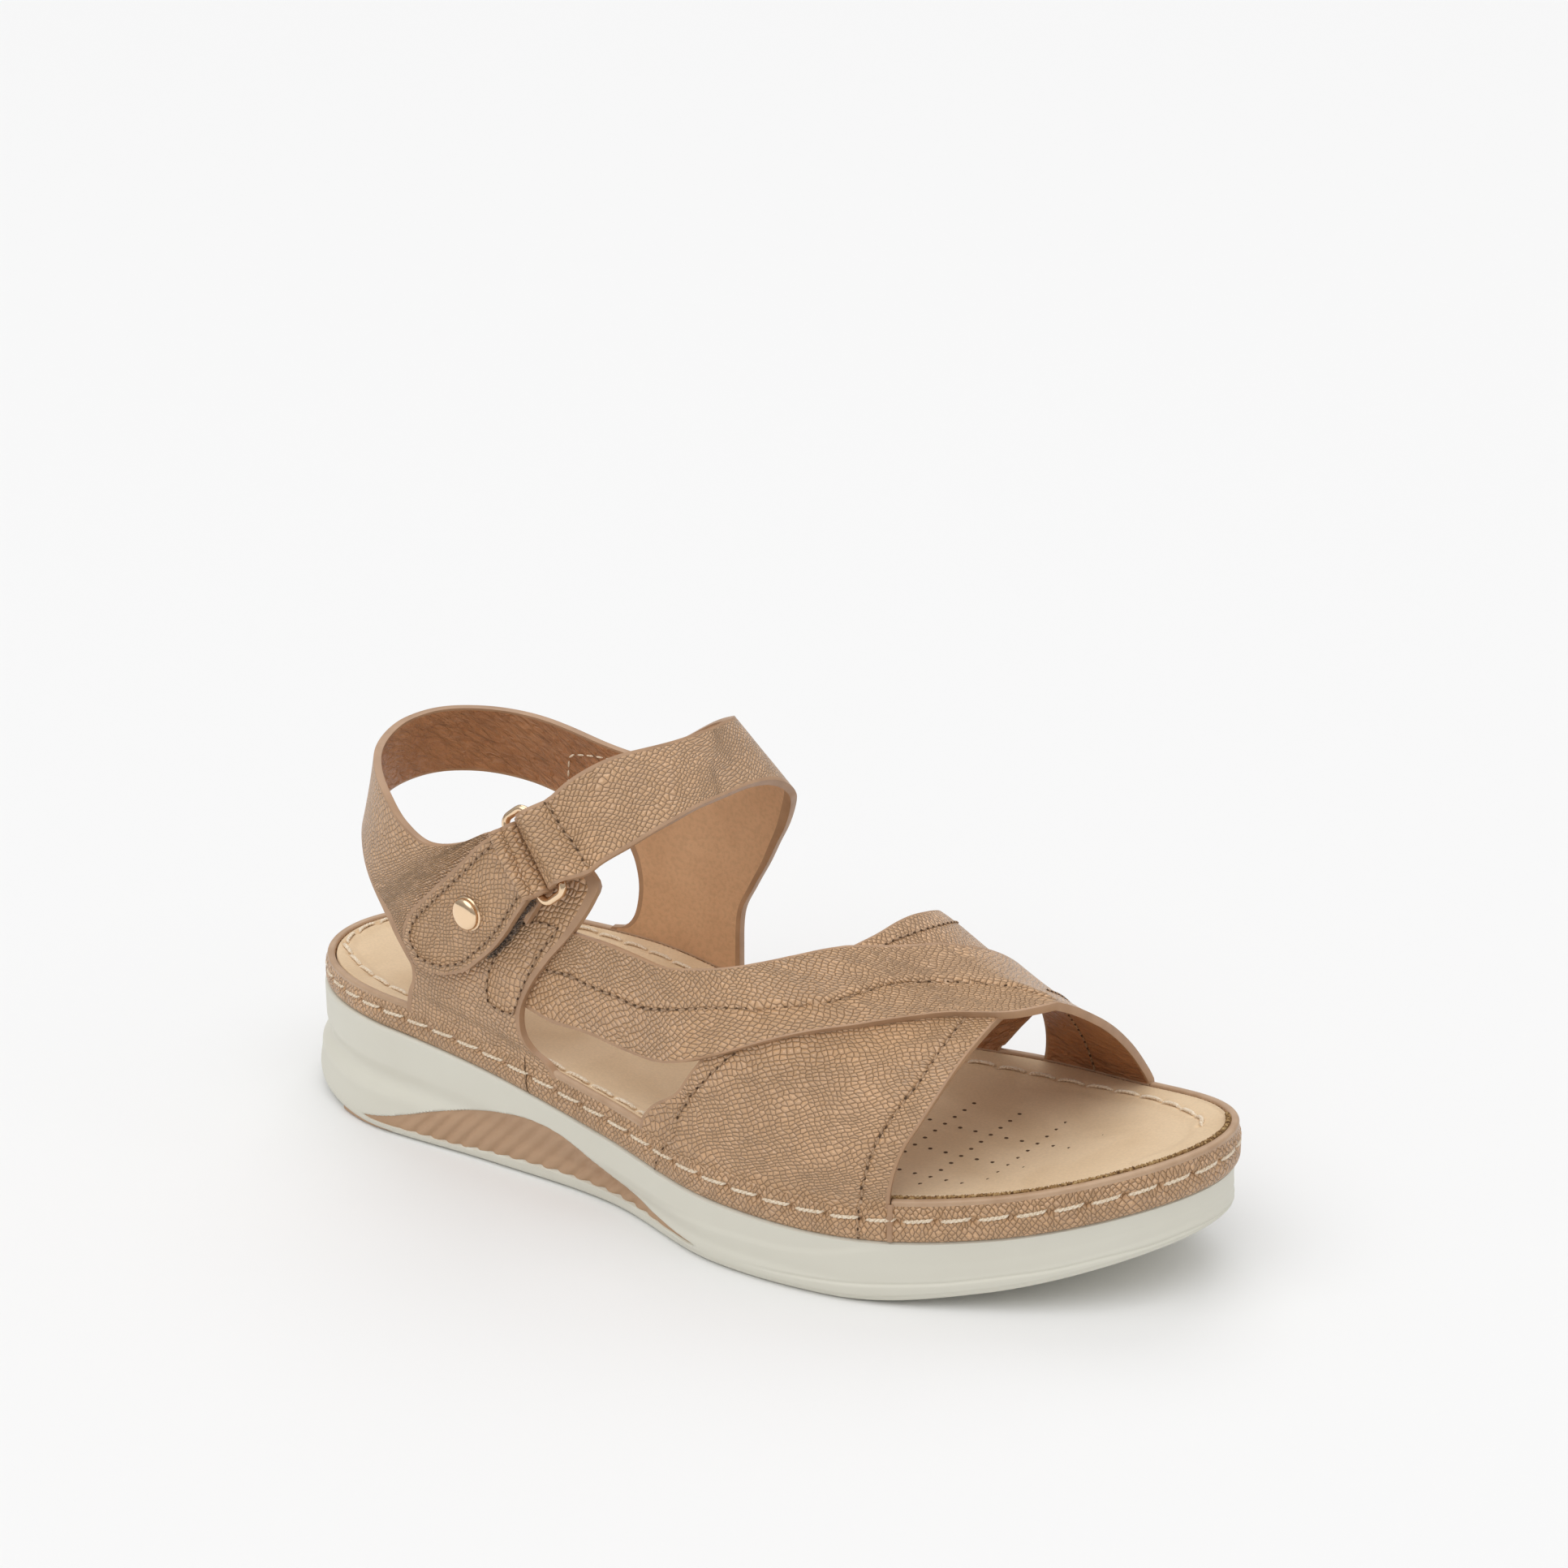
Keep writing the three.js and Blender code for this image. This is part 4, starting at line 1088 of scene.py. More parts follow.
fray = {
    "radius": 0.52,
    "rough": 0.26,
    "flat": 0.9,
    "from": 0.452,
    "to": 0.662,
    "inset": 2.45,
    "down": 0.30,
    "steps": 620,
}


# torn edge of the cover, between footbed and band round the front
def buildFray():
    lines = []
    for i in range(fray["steps"] + 1):
        share = i / fray["steps"]
        turn = mix(fray["from"], fray["to"], share)
        thin = ease(share, 0, 0.04) * (1 - ease(share, 0.985, 1))
        middle = rimAt(alongAt(turn)) - fray["down"]
        line = []
        for k in range(9):
            angle = 2 * math.pi * (k % 8) / 8
            radius = (fray["radius"] + jitter(i * 8 + k % 8, fray["rough"])) * (0.15 + 0.85 * thin)
            out = -fray["inset"] + radius * math.cos(angle)
            line.append(outlineSpot(turn, out, middle + radius * math.sin(angle) * fray["flat"]))
        lines.append(line)
    finishPiece("frayedCover", closedMesh(lines, caps=True), [finish["frayedEdge"]])


buildPinholes()
buildFray()
print("stage: footbed")

# places of the straps on the last: rear edge, front edge, then layers, straightness and level
quarterRows = [
    [-0.1465, -0.050, -0.2180, -0.050],
    [-0.1465, 0.036, -0.2120, 0.012],
    [-0.1470, 0.062, -0.2055, 0.027],
    [-0.1480, 0.088, -0.2015, 0.055],
    [-0.1470, 0.131, -0.2000, 0.125],
    [-0.1430, 0.163, -0.2040, 0.225],
    [-0.1390, 0.191, -0.2110, 0.331],
    [-0.1340, 0.225, -0.2200, 0.450],
    [-0.1300, 0.253, -0.2258, 0.560],
    [-0.1285, 0.262, -0.2270, 0.602],
    [-0.1270, 0.269, -0.2225, 0.644],
    [-0.1240, 0.285, -0.2050, 0.681],
    [-0.1200, 0.304, -0.1850, 0.640],
    [-0.1140, 0.329, -0.1680, 0.573],
    [-0.1060, 0.359, -0.1480, 0.540],
    [-0.0960, 0.394, -0.1300, 0.575],
    [-0.0810, 0.440, -0.1080, 0.638],
    [-0.0600, 0.478, -0.0780, 0.694],
    [-0.0300, 0.513, -0.0400, 0.728],
    [0.0000, 0.530, 0.0000, 0.753],
    [0.0350, 0.533, 0.0350, 0.756],
    [0.0710, 0.514, 0.0700, 0.739],
    [0.1070, 0.474, 0.1050, 0.708],
    [0.1350, 0.428, 0.1350, 0.670],
    [0.1600, 0.390, 0.1620, 0.630],
    [0.1750, 0.369, 0.1780, 0.613],
]
ankleRows = [
    [0.233, 1.40, 0.400, 1.40],
    [0.235, 1.000, 0.399, 1.000],
    [0.246, 0.99936, 0.3987, 0.99957, 0, 0, 0, 0.5],
    [0.2545, 0.9974, 0.398, 0.99736, 0, 0, 0, 1],
    [0.2605, 0.99405, 0.3975, 0.99264, 0, 0, 0, 1],
    [0.2636, 0.990, 0.397, 0.986, 0, 0, 0, 1],
    [0.266, 0.978, 0.399, 0.972, 0, 0, 0, 1],
    [0.262, 0.965, 0.413, 0.947, 0.1, 0, 0, 1],
    [0.254, 0.954, 0.428, 0.914, 0.3, 0, 0, 1],
    [0.235, 0.939, 0.442, 0.870, 0.7, 0, 0, 1],
    [0.190, 0.924, 0.455, 0.822, 1, 0, 0, 1],
    [0.158, 0.910, 0.465, 0.772, 1, 0, 0, 1],
    [0.162, 0.893, 0.473, 0.725, 1, 0, 0, 1],
    [0.235, 0.882, 0.477, 0.685, 0.9, 0, 0, 1],
    [0.325, 0.835, 0.480, 0.640, 0.2, 0, 0, 0.8],
    [0.396, 0.710, 0.481, 0.585],
    [0.4235, 0.585, 0.480, 0.520],
    [0.4275, 0.500, 0.476, 0.440],
    [0.417, 0.410, 0.466, 0.350],
    [0.398, 0.320, 0.449, 0.264, 1, 0.8, 0.3],
    [0.374, 0.227, 0.424, 0.181, 2.9, 2.9, 1],
]
overRows = [
    [0.345, 0.075, 0.312, 0.022, -1, -1],
    [0.385, 0.082, 0.346, 0.015, -1, -1],
    [0.410, 0.092, 0.385, 0.014, -0.5, -0.5],
    [0.439, 0.111, 0.428, 0.022],
    [0.477, 0.139, 0.480, 0.036],
    [0.514, 0.170, 0.533, 0.064, 0, 0.2],
    [0.542, 0.206, 0.579, 0.113, 0, 0.7],
    [0.573, 0.251, 0.635, 0.185, 0.1, 1],
    [0.609, 0.310, 0.689, 0.264, 0.4, 1],
    [0.649, 0.389, 0.755, 0.366, 1, 1],
    [0.683, 0.465, 0.812, 0.435, 1, 0.8],
    [0.712, 0.560, 0.834, 0.530, 1, 0.4],
    [0.727, 0.680, 0.847, 0.660, 1],
    [0.735, 0.800, 0.852, 0.800, 0.6],
    [0.737, 0.900, 0.855, 0.905, 0.1],
    [0.735, 0.970, 0.858, 0.970],
    [0.734, 1.000, 0.859, 1.000],
    [0.733, 1.40, 0.859, 1.40],
]
underRows = [
    [0.503, -0.40, 0.774, -0.40],
    [0.509, 0.000, 0.774, 0.000],
    [0.514, 0.006, 0.774, 0.004],
    [0.550, 0.043, 0.775, 0.040],
    [0.565, 0.082, 0.779, 0.095],
    [0.583, 0.135, 0.786, 0.146],
    [0.604, 0.205, 0.792, 0.212],
    [0.627, 0.290, 0.796, 0.296],
    [0.649, 0.389, 0.798, 0.385],
    [0.658, 0.480, 0.798, 0.460],
    [0.658, 0.570, 0.790, 0.550],
    [0.652, 0.660, 0.774, 0.650],
    [0.632, 0.760, 0.752, 0.760],
    [0.600, 0.850, 0.729, 0.860],
    [0.562, 0.930, 0.708, 0.930],
    [0.528, 0.985, 0.692, 0.985],
    [0.520, 1.000, 0.687, 1.000],
    [0.519, 1.40, 0.686, 1.40],
]
tabRows = [
    [0.194, 0.212, 0.212, 0.160, 1.4, 1.4, 1],
    [0.190, 0.250, 0.243, 0.156, 1.4, 1.4, 1],
    [0.194, 0.302, 0.272, 0.185, 1.4, 1.4, 1],
    [0.224, 0.403, 0.313, 0.285, 1.75, 1.75, 1],
    [0.259, 0.495, 0.338, 0.375, 2.4, 2.4, 1],
    [0.290, 0.573, 0.353, 0.445, 2.9, 2.9, 1],
    [0.322, 0.657, 0.370, 0.520, 3.7, 3.7, 1],
]
tabReturnRows = [
    [0.322, 0.657, 0.374, 0.510, 1.4, 1.4, 1],
    [0.292, 0.575, 0.359, 0.428, 1.4, 1.4, 1],
]
ringEnds = [[0.337, 0.730], [0.394, 0.545]]

# band
toeFrom, toeTo = turnAt(0.859, 1), turnAt(0.774, -1)
band = {
    "edgeRound": 0.7,
    "paintedTop": 1.0,
    "swell": 0.62,
    "topLine": 0.18,
    "topLineDown": 2.5,
    "topLineWidth": 0.32,
    "footTuck": 0.35,
    "seamShare": 0.54,
    "stitchPitch": 8.3,
    "threadRadius": 0.42,
    "groove": 0.55,
    "grooveWidth": 0.6,
    "pucker": 0.6,
    "puckerWidth": 0.8,
    "crease": 0.28,
    "creaseWidth": 0.45,
    "split": 0.0005,
}


def seamHeight(along):
    return mix(bandFootAt(along), rimAt(along), band["seamShare"])


bandTravel = travelAlong([rimPoint(i / 900) for i in range(901)])
bandPitch = bandTravel[-1] / round(bandTravel[-1] / band["stitchPitch"])


def travelAt(turn):
    place = (turn - math.floor(turn)) * (len(bandTravel) - 1)
    i = min(int(place), len(bandTravel) - 2)
    return mix(bandTravel[i], bandTravel[i + 1], place - i)


# travel along the band to the nearest stitch hole
def holeGap(turn):
    return abs((travelAt(turn) / bandPitch + 0.5) % 1 - 0.5) * bandPitch


# swell of the band, less the groove of its seam and the puckers and creases at the holes
def bandOut(along, z, gap):
    top, foot = rimAt(along), bandFootAt(along)
    share = (z - foot) / (top - foot)
    rise = z - seamHeight(along)
    out = band["swell"] * ease(1 - share, 0.12, 0.36) * ease(share, -0.05, 0.22)
    out -= band["groove"] * bump(rise, 0, band["grooveWidth"])
    out -= band["pucker"] * bump(gap, 0, band["puckerWidth"]) * bump(rise, 0, 0.9)
    reach = 1 - ease(abs(rise), 1.2, 3.4)
    creases = bump(gap, 0.9 + 0.35 * abs(rise), band["creaseWidth"])  # they spread away from the hole
    out -= band["crease"] * creases * reach * ease(abs(rise), 0.3, 1.0)
    return out - band["footTuck"] * (1 - ease(share, 0.0, 0.08))


# outline of the cut band: up the outer face, over the rounded top and down inside
def bandSection(turn):
    along = alongAt(turn - math.floor(turn))
    top, foot = rimAt(along), bandFootAt(along)
    gap = holeGap(turn)
    corner = band["edgeRound"]
    inner = form["bandThickness"] - corner
    angles = [math.pi / 2 * k / 4 for k in range(1, 5)]
    section = []
    for k in range(21):
        z = mix(foot + 0.1, top - corner, k / 20)
        line = band["topLine"] * bump(z, top - band["topLineDown"], band["topLineWidth"])
        section.append((bandOut(along, z, gap) - line, z))
    for angle in angles:
        section.append((-corner * (1 - math.cos(angle)), top - corner * (1 - math.sin(angle))))
    for angle in angles:
        section.append((-inner - corner * math.sin(angle), top - corner * (1 - math.cos(angle))))
    section.append((-form["bandThickness"], mix(foot, top, 0.5)))
    section.append((-form["bandThickness"], foot + 0.1))
    return section


def buildBand(name, start, end, nodes):
    steps = round(abs(end - start) * 1300)
    lines = []
    for i in range(steps + 1):
        turn = mix(start, end, i / steps)
        line = [outlineSpot(turn - math.floor(turn), out, z) for out, z in bandSection(turn)]
        lines.append([*line, line[0].copy()])
    mesh = closedMesh(lines, caps=True)
    grain = mesh.loops.layers.uv["grain"]
    for face in mesh.faces:
        middle = face.calc_center_median()
        along = clamp((middle.x * 1000 + form["heelSeat"]) / form["footbedLength"])
        high = middle.z * 1000 > rimAt(along) - band["paintedTop"]
        face.material_index = 1 if high or len(face.verts) > 4 else 0
        for loop in face.loops:
            loop[grain].uv = (loop[grain].uv.y, loop.vert.co.z * 100)
    finishPiece(name, mesh, [upperLeather, finish["rimPaint"]], nodes)


buildBand("bandToe", toeFrom + band["split"], toeTo - band["split"], ["toe_rand"])
buildBand("bandSides", toeTo, 1 + toeFrom, [])
print("stage: band")

# straps
straps = {
    "glueGap": 0.05,
    "roundness": 0.6,
    "seamRaise": 0.35,
    "frontRaise": 0.75,
    "seamGroove": 0.35,
    "seamReach": 5.0,
    "seamFade": 2.0,
    "farOff": 12,
}
overSeamLow = [(0.375, 0.042), (0.445, 0.067), (0.507, 0.106), (0.573, 0.185), (0.614, 0.222)]
overSeamHigh = [
    (0.614, 0.222), (0.664, 0.287), (0.700, 0.380), (0.726, 0.426), (0.755, 0.465), (0.778, 0.491), (0.812, 0.523),
]
underSeamRear = [(0.530, -0.9), (0.540, -0.3), (0.558, 0.022), (0.575, 0.063), (0.604, 0.136), (0.640, 0.235)]
underSeamFront = [
    (0.747, -0.9), (0.748, 0.0), (0.749, 0.028), (0.753, 0.096),
    (0.760, 0.152), (0.771, 0.250), (0.772, 0.382), (0.765, 0.48),
]


# the strap stands higher on one side of a seam, with a groove beside the step
def seamPush(pairs, lift, raised, flipSide=1):
    seam = makeSeam(pairs, lift)

    def push(spot):
        signed, distance = seam(spot)
        signed *= flipSide
        if distance > straps["farOff"]:
            return 0.0
        away = math.sqrt(max(0.0, distance * distance - signed * signed))
        fade = bump(away, 0, straps["seamFade"])
        step = raised * ease(signed, -0.35, 0.45) * math.exp(-max(0.0, signed) / straps["seamReach"])
        return fade * (step - straps["seamGroove"] * bump(signed, -0.15, 0.5))

    return push


# away from a line inside the foot
def awayFromFoot(spot):
    return spot - Vector((clamp(spot.x, 60, 190), 0, 35))


# leather outside, a lining inside, and paint on the cut edge and a narrow border of the face
def strapPiece(name, mesh, inside, nodes, outwards):
    for face in mesh.faces:
        face.material_index = 2 if any(edge.is_boundary for edge in face.edges) else 0
    materials = [upperLeather, inside, finish["edgePaint"]]
    piece = finishPiece(name, mesh, materials, nodes, outwards)
    wall = addWall(piece, form["strapThickness"] - straps["glueGap"], 0)
    wall.use_quality_normals = True
    wall.material_offset = 1
    wall.material_offset_rim = 2
    soft = piece.modifiers.new("softEdge", "BEVEL")
    soft.width = straps["roundness"] / 1000
    soft.segments = 3
    soft.limit_method = "ANGLE"
    soft.angle_limit = math.radians(50)
    soft.harden_normals = False
    soft.material = 2  # the paint goes round the corner


def buildStrap(name, rows, point, columns, step, push=None, grainTurn=0, nodes=()):
    lines = strapLines(rows, point, columns, step, push)
    mesh = gridMesh(lines, grainTurn=grainTurn)
    strapPiece(name, mesh, slingLining, nodes, lambda spot: spot - Vector((spot.x * 0.6 + 0.02, 0, 0.03)))
    return lines


overLow = seamPush(overSeamLow, 1.0, straps["seamRaise"])
overHigh = seamPush(overSeamHigh, 2.4, straps["frontRaise"])
underRear = seamPush(underSeamRear, 1.0, straps["seamRaise"], -1)
underFront = seamPush(underSeamFront, 1.0, straps["seamRaise"])


def overPush(spot):
    return overLow(spot) + overHigh(spot)


def underPush(spot):
    return underRear(spot) + underFront(spot)


quarterLines = buildStrap("quarterSling", quarterRows, wallPoint, 30, 1.0, grainTurn=60, nodes=["upper"])
overLines = buildStrap("overStrap", overRows, lastPoint, 44, 0.9, overPush)
underLines = buildStrap("underStrap", underRows, lastPoint, 84, 0.9, underPush, grainTurn=90)
print("stage: straps")

# ring, folds and tab
closing = {
    "wireRadius": 1.0,
    "jointGap": 0.3,
    "foldGap": 0.38,
    "cornerRadius": 2.2,
    "foldWidth": 18.4,
    "foldLength": 7.0,
    "columns": 24,
    "puff": 0.9,
    "rollHeight": 1.7,
    "rollPlace": 4.2,
    "rollWidth": 2.6,
    "leadSteps": 16,
    "leadLength": 8.0,
    "seamDip": 0.55,
    "seamWidth": 0.75,
    "seamSkew": 5.0,
}
closing["foldRadius"] = closing["wireRadius"] + closing["foldGap"] + form["strapThickness"] / 2
closing["foldReach"] = closing["foldRadius"] + form["strapThickness"] / 2
closing["barSpacing"] = 2 * closing["foldReach"] + closing["jointGap"]
closing["ringLift"] = form["strapThickness"] + closing["jointGap"] + closing["foldReach"]


# the ring lies flat over the strap, its short way pointing at the end of the tab
def ringFrame():
    rear, front = [outerWall(along, up, closing["ringLift"]) for along, up in ringEnds]
    long = (front - rear).normalized()
    end = tabRows[-1]
    low, high = [outerWall(*end[k:k + 2], closing["ringLift"]) for k in (0, 2)]
    centre = rear.lerp(front, 0.5)
    towards = low.lerp(high, 0.5) - centre
    short = (towards - long * towards.dot(long)).normalized()
    out = short.cross(long).normalized()
    if out.y > 0:
        out.negate()
    return {"centre": centre, "long": long, "short": short, "out": out, "length": (front - rear).length}


ring = ringFrame()


# one line of a fold round the wire; back runs it on, flat, after the turn
def foldLine(side, angle, back=0.0):
    middle = ring["centre"] + ring["short"] * (side * closing["barSpacing"] / 2)
    middle = middle + ring["out"] * (closing["foldRadius"] * math.cos(angle))
    middle = middle + ring["short"] * (side * (back - closing["foldRadius"] * math.sin(angle)))
    columns = closing["columns"]
    return [middle + ring["long"] * ((j / columns - 0.5) * closing["foldWidth"]) for j in range(columns + 1)]


# lines that carry a strap smoothly from its last line to the start of its fold
def leadLines(before, start, end, after):
    steps = closing["leadSteps"]
    lines = []
    for step in range(1, steps):
        t = step / steps
        line = []
        for j, first in enumerate(start):
            last = end[j]
            reach = (last - first).length / 3
            leave = first + (first - before[j]).normalized() * reach
            arrive = last + (last - after[j]).normalized() * reach
            spot = first * (1 - t) ** 3 + leave * (3 * t * (1 - t) ** 2)
            spot = spot + arrive * (3 * t * t * (1 - t)) + last * t ** 3
            across = math.sin(math.pi * (0.06 + 0.88 * j / closing["columns"]))
            line.append(spot + ring["out"] * closing["puff"] * math.sin(math.pi * t) * across)
        lines.append(line)
    return lines


# a strap led into its fold round the wire, with a seam, a soft roll and its end turned back
def foldedStrap(name, body, side, back, nodes, outwards, seamSkew=0.0):
    fold = [foldLine(side, math.pi * step / 14) for step in range(15)]
    lead = leadLines(body[-2], body[-1], fold[0], fold[1])
    for i, line in enumerate([*body, *lead]):
        for j, spot in enumerate(line):
            seam = len(body) - 1 + seamSkew * (1 - j / closing["columns"])
            away = (i - seam) * closing["leadLength"] / closing["leadSteps"]
            dip = closing["seamDip"] * bump(away, 0, closing["seamWidth"])
            roll = closing["rollHeight"] * bump(away, closing["rollPlace"], closing["rollWidth"])
            spot -= ring["out"] * (dip - roll)
    lines = [*body, *lead, *fold, *back]
    strapPiece(name, gridMesh(lines), finish["liningSuede"], nodes, outwards)
    return lines


tabBody = strapLines(tabRows, outerWall, closing["columns"], 0.9)
tabBack = strapLines(tabReturnRows, outerWall, closing["columns"], 1.2)
foldedStrap("closingTab", tabBody, 1, tabBack, ["fastening_tab"], lambda spot: Vector((0, -1, 0.4)))
ankleBody = strapLines(ankleRows, lastPoint, closing["columns"], 1.1)
ankleBack = [foldLine(-1, math.pi, share * closing["foldLength"]) for share in (0.25, 0.5, 0.75, 1.0)]
ankleLines = foldedStrap(
    "ankleStrap", ankleBody, -1, ankleBack, [], lambda spot: spot - Vector((0.05, 0, 0.05)), closing["seamSkew"]
)


def buildRing():
    corner = closing["cornerRadius"]
    straightShort = closing["barSpacing"] / 2 - corner
    straightLong = ring["length"] / 2 - corner
    lines = []
    for quarter in range(4):
        cornerShort = straightShort * (1 if quarter in (0, 3) else -1)
        cornerLong = straightLong * (1 if quarter in (0, 1) else -1)
        for step in range(13):
            angle = math.pi / 2 * (quarter + step / 12)
            outShort, outLong = math.cos(angle), math.sin(angle)
            shortPlace, longPlace = cornerShort + corner * outShort, cornerLong + corner * outLong
            middle = ring["centre"] + ring["short"] * shortPlace + ring["long"] * longPlace
            away = ring["short"] * outShort + ring["long"] * outLong
            line = []
            for k in range(17):
                turned = 2 * math.pi * (k % 16) / 16
                out = away * math.cos(turned) + ring["out"] * math.sin(turned)
                line.append(middle + out * closing["wireRadius"])
            lines.append(line)
    lines.append(lines[0])
    finishPiece("strapRing", closedMesh(lines), [finish["paleGold"]], ["ring"])


buildRing()
stud = {
    "radius": 4.3,
    "height": 2.3,
    "place": 0.58,
    "profile": [
        (0, 1.0), (0.3, 0.975), (0.52, 0.91), (0.70, 0.81), (0.82, 0.69), (0.89, 0.56),
        (0.92, 0.42), (0.92, 0.16), (0.96, 0.10), (1.0, 0.05), (1.0, 0.0), (0.0, 0.0),
    ],
}


def buildStud():
    at = round(stud["place"] * (len(tabBody) - 1))
    line = tabBody[at]
    column = closing["columns"] // 2
    ahead = (tabBody[at + 1][column] - tabBody[at - 1][column]).normalized()
    out = (line[-1] - line[0]).cross(ahead).normalized()
    if out.y > 0:
        out.negate()
    centre = line[column] + out * (form["strapThickness"] / 2 + 0.05)
    mesh = bmesh.new()
    chain = [mesh.verts.new((r * stud["radius"] / 1000, 0, h * stud["height"] / 1000)) for r, h in stud["profile"]]
    edges = [mesh.edges.new(pair) for pair in zip(chain, chain[1:])]
    bmesh.ops.spin(
        mesh, geom=chain + edges, cent=(0, 0, 0), axis=(0, 0, 1), angle=2 * math.pi, steps=48, use_merge=True
    )
    bmesh.ops.remove_doubles(mesh, verts=mesh.verts, dist=1e-7)
    bmesh.ops.recalc_face_normals(mesh, faces=mesh.faces)
    side = ahead.cross(out).normalized()
    turn = Matrix((side, out.cross(side), out)).transposed().to_4x4()
    turn.translation = toModel(centre)
    bmesh.ops.transform(mesh, matrix=turn, verts=mesh.verts)
    finishPiece("tabStud", mesh, [finish["paleGold"]], ["stud"], angle=35)


buildStud()
print("stage: ring, folds, tab and stud")


# stitches
strapSeam = {"pitch": 2.6, "inset": 2.3, "proud": 0.08}
seamLooks = {
    "strapStitches": {"share": 0.74, "radius": 0.34, "slant": 0.18, "material": "tanThread"},
    # stitchHoles and liningHoles are near-black grains between the stitches: painted shade in the holes
    "stitchHoles": {"share": 0.34, "radius": 0.28, "shift": 0.0, "material": "holeShade"},
    "liningStitches": {"share": 0.72, "radius": 0.30, "material": "creamThread"},
    "liningThread": {"share": 0.74, "radius": 0.28, "material": "tanThread"},
    "liningHoles": {"share": 0.40, "radius": 0.27, "shift": 0.0, "material": "holeShade"},
    "buttSeams": {"share": 1.6, "radius": 0.17, "material": "holeShade"},
}


# places on a strap, given as shares of its length and width
def onLines(lines, pairs, count=80):
    spots = []
    for row, column in sampled(pairs, count):
        i = clamp(row, 0, 0.9999) * (len(lines) - 1)
        j = clamp(column, 0, 0.9999) * (len(lines[0]) - 1)
        low, left = int(i), int(j)
        first, second = [lines[k][left].lerp(lines[k][left + 1], j - left) for k in (low, low + 1)]
        spots.append(first.lerp(second, i - low))
    return spots


def strapRun(lines, spots, outwards=awayFromFoot):
    points, outs = laidOn(surfaceOf(lines), spots, outwards, form["strapThickness"] / 2 + strapSeam["proud"])
    return points, outs, strapSeam["pitch"]


def inwards(spot):
    return -awayFromFoot(spot)


def tabOut(spot):
    return ring["out"]


# round the tab near its edge, and straight across before the fold
def tabSeams():
    last = len(tabBody) - 1
    edge = [tabBody[i][0] for i in range(last, 0, -1)] + tabBody[0] + [tabBody[i][-1] for i in range(1, last + 1)]
    centre = tabBody[last // 2][len(tabBody[0]) // 2]
    line = insetFrom(surfaceOf(tabBody), edge, strapSeam["inset"], centre)
    kept = [spot for spot in line if min((spot - corner).length for corner in edge) > strapSeam["inset"] * 0.93]
    across = tabBody[last - 1][2:-2]
    return [strapRun(tabBody, kept, tabOut), strapRun(tabBody, across, tabOut)]


def foldSeam():
    first = len(ankleBody) - 1
    spots = []
    for k in range(1, closing["columns"]):
        row = first + closing["seamSkew"] * (1 - k / closing["columns"])
        low = int(row)
        spots.append(ankleLines[low][k].lerp(ankleLines[low + 1][k], row - low))
    return strapRun(ankleLines, spots)


quarterBox = [
    (0.199, 0.93), (0.163, 0.935), (0.138, 0.955), (0.104, 0.962), (0.094, 0.93), (0.0915, 0.84), (0.093, 0.76),
    (0.101, 0.733), (0.128, 0.715), (0.148, 0.72), (0.184, 0.735), (0.199, 0.765), (0.204, 0.84), (0.199, 0.93),
]
slingBox = [(0.883, 0.15), (0.883, 0.40), (0.885, 0.60), (0.897, 0.69), (0.93, 0.80), (0.965, 0.86)]
underTopSeam = [
    (0.43, 0.085), (0.476, 0.095), (0.506, 0.12), (0.554, 0.138), (0.625, 0.138), (0.75, 0.13), (0.97, 0.12),
]
overInnerSeam = [(0.763, 0.60), (0.82, 0.49), (0.884, 0.435), (0.947, 0.44), (0.985, 0.47)]


def seamOnStrap(lines, pairs, lift):
    return strapRun(lines, lineOn(pairs, lift, 90)[0])


strapSeams = [
    seamOnStrap(overLines, [*overSeamLow, *overSeamHigh[1:]], 1.6),
    *[
        seamOnStrap(underLines, [pair for pair in seam if pair[1] > -0.1], 1.0)  # the band covers the rest
        for seam in (underSeamRear, underSeamFront)
    ],
    strapRun(underLines, onLines(underLines, underTopSeam)),
    strapRun(quarterLines, onLines(quarterLines, quarterBox)),
    strapRun(overLines, onLines(overLines, overInnerSeam)),
    *tabSeams(),
    foldSeam(),
]


def bandSpot(turn, share, proud):
    along = alongAt(turn % 1)
    z = mix(bandFootAt(along), rimAt(along), share)
    return outlineSpot(turn % 1, bandOut(along, z, holeGap(turn)) + proud, z)


# a short seam across the band, from one station and height share to the other
def bandCross(stations, shares):
    turns = [turnAt(along, -1) for along in stations]
    places = [(mix(*turns, k / 12), mix(*shares, k / 12)) for k in range(13)]
    points, further = [[bandSpot(turn, share, proud) for turn, share in places] for proud in (0.0, 1.0)]
    return points, [(b - a).normalized() for a, b in zip(points, further)], strapSeam["pitch"]


def bandRun(count=900, proud=0.16):
    points, outs = [], []
    for i in range(count + 1):
        turn = (i / count) % 1
        points.append(outlineSpot(turn, proud, seamHeight(alongAt(turn))))
        outs.append(atHeight(outlinePoint(turn, 1.0) - outlinePoint(turn, 0.0), 0).normalized())
    return points, outs, bandPitch


twist = {"share": 0.80, "grains": 6, "grainShare": 1.75, "slant": 0.42, "drift": 0.22, "rise": 0.14, "dip": 0.50}


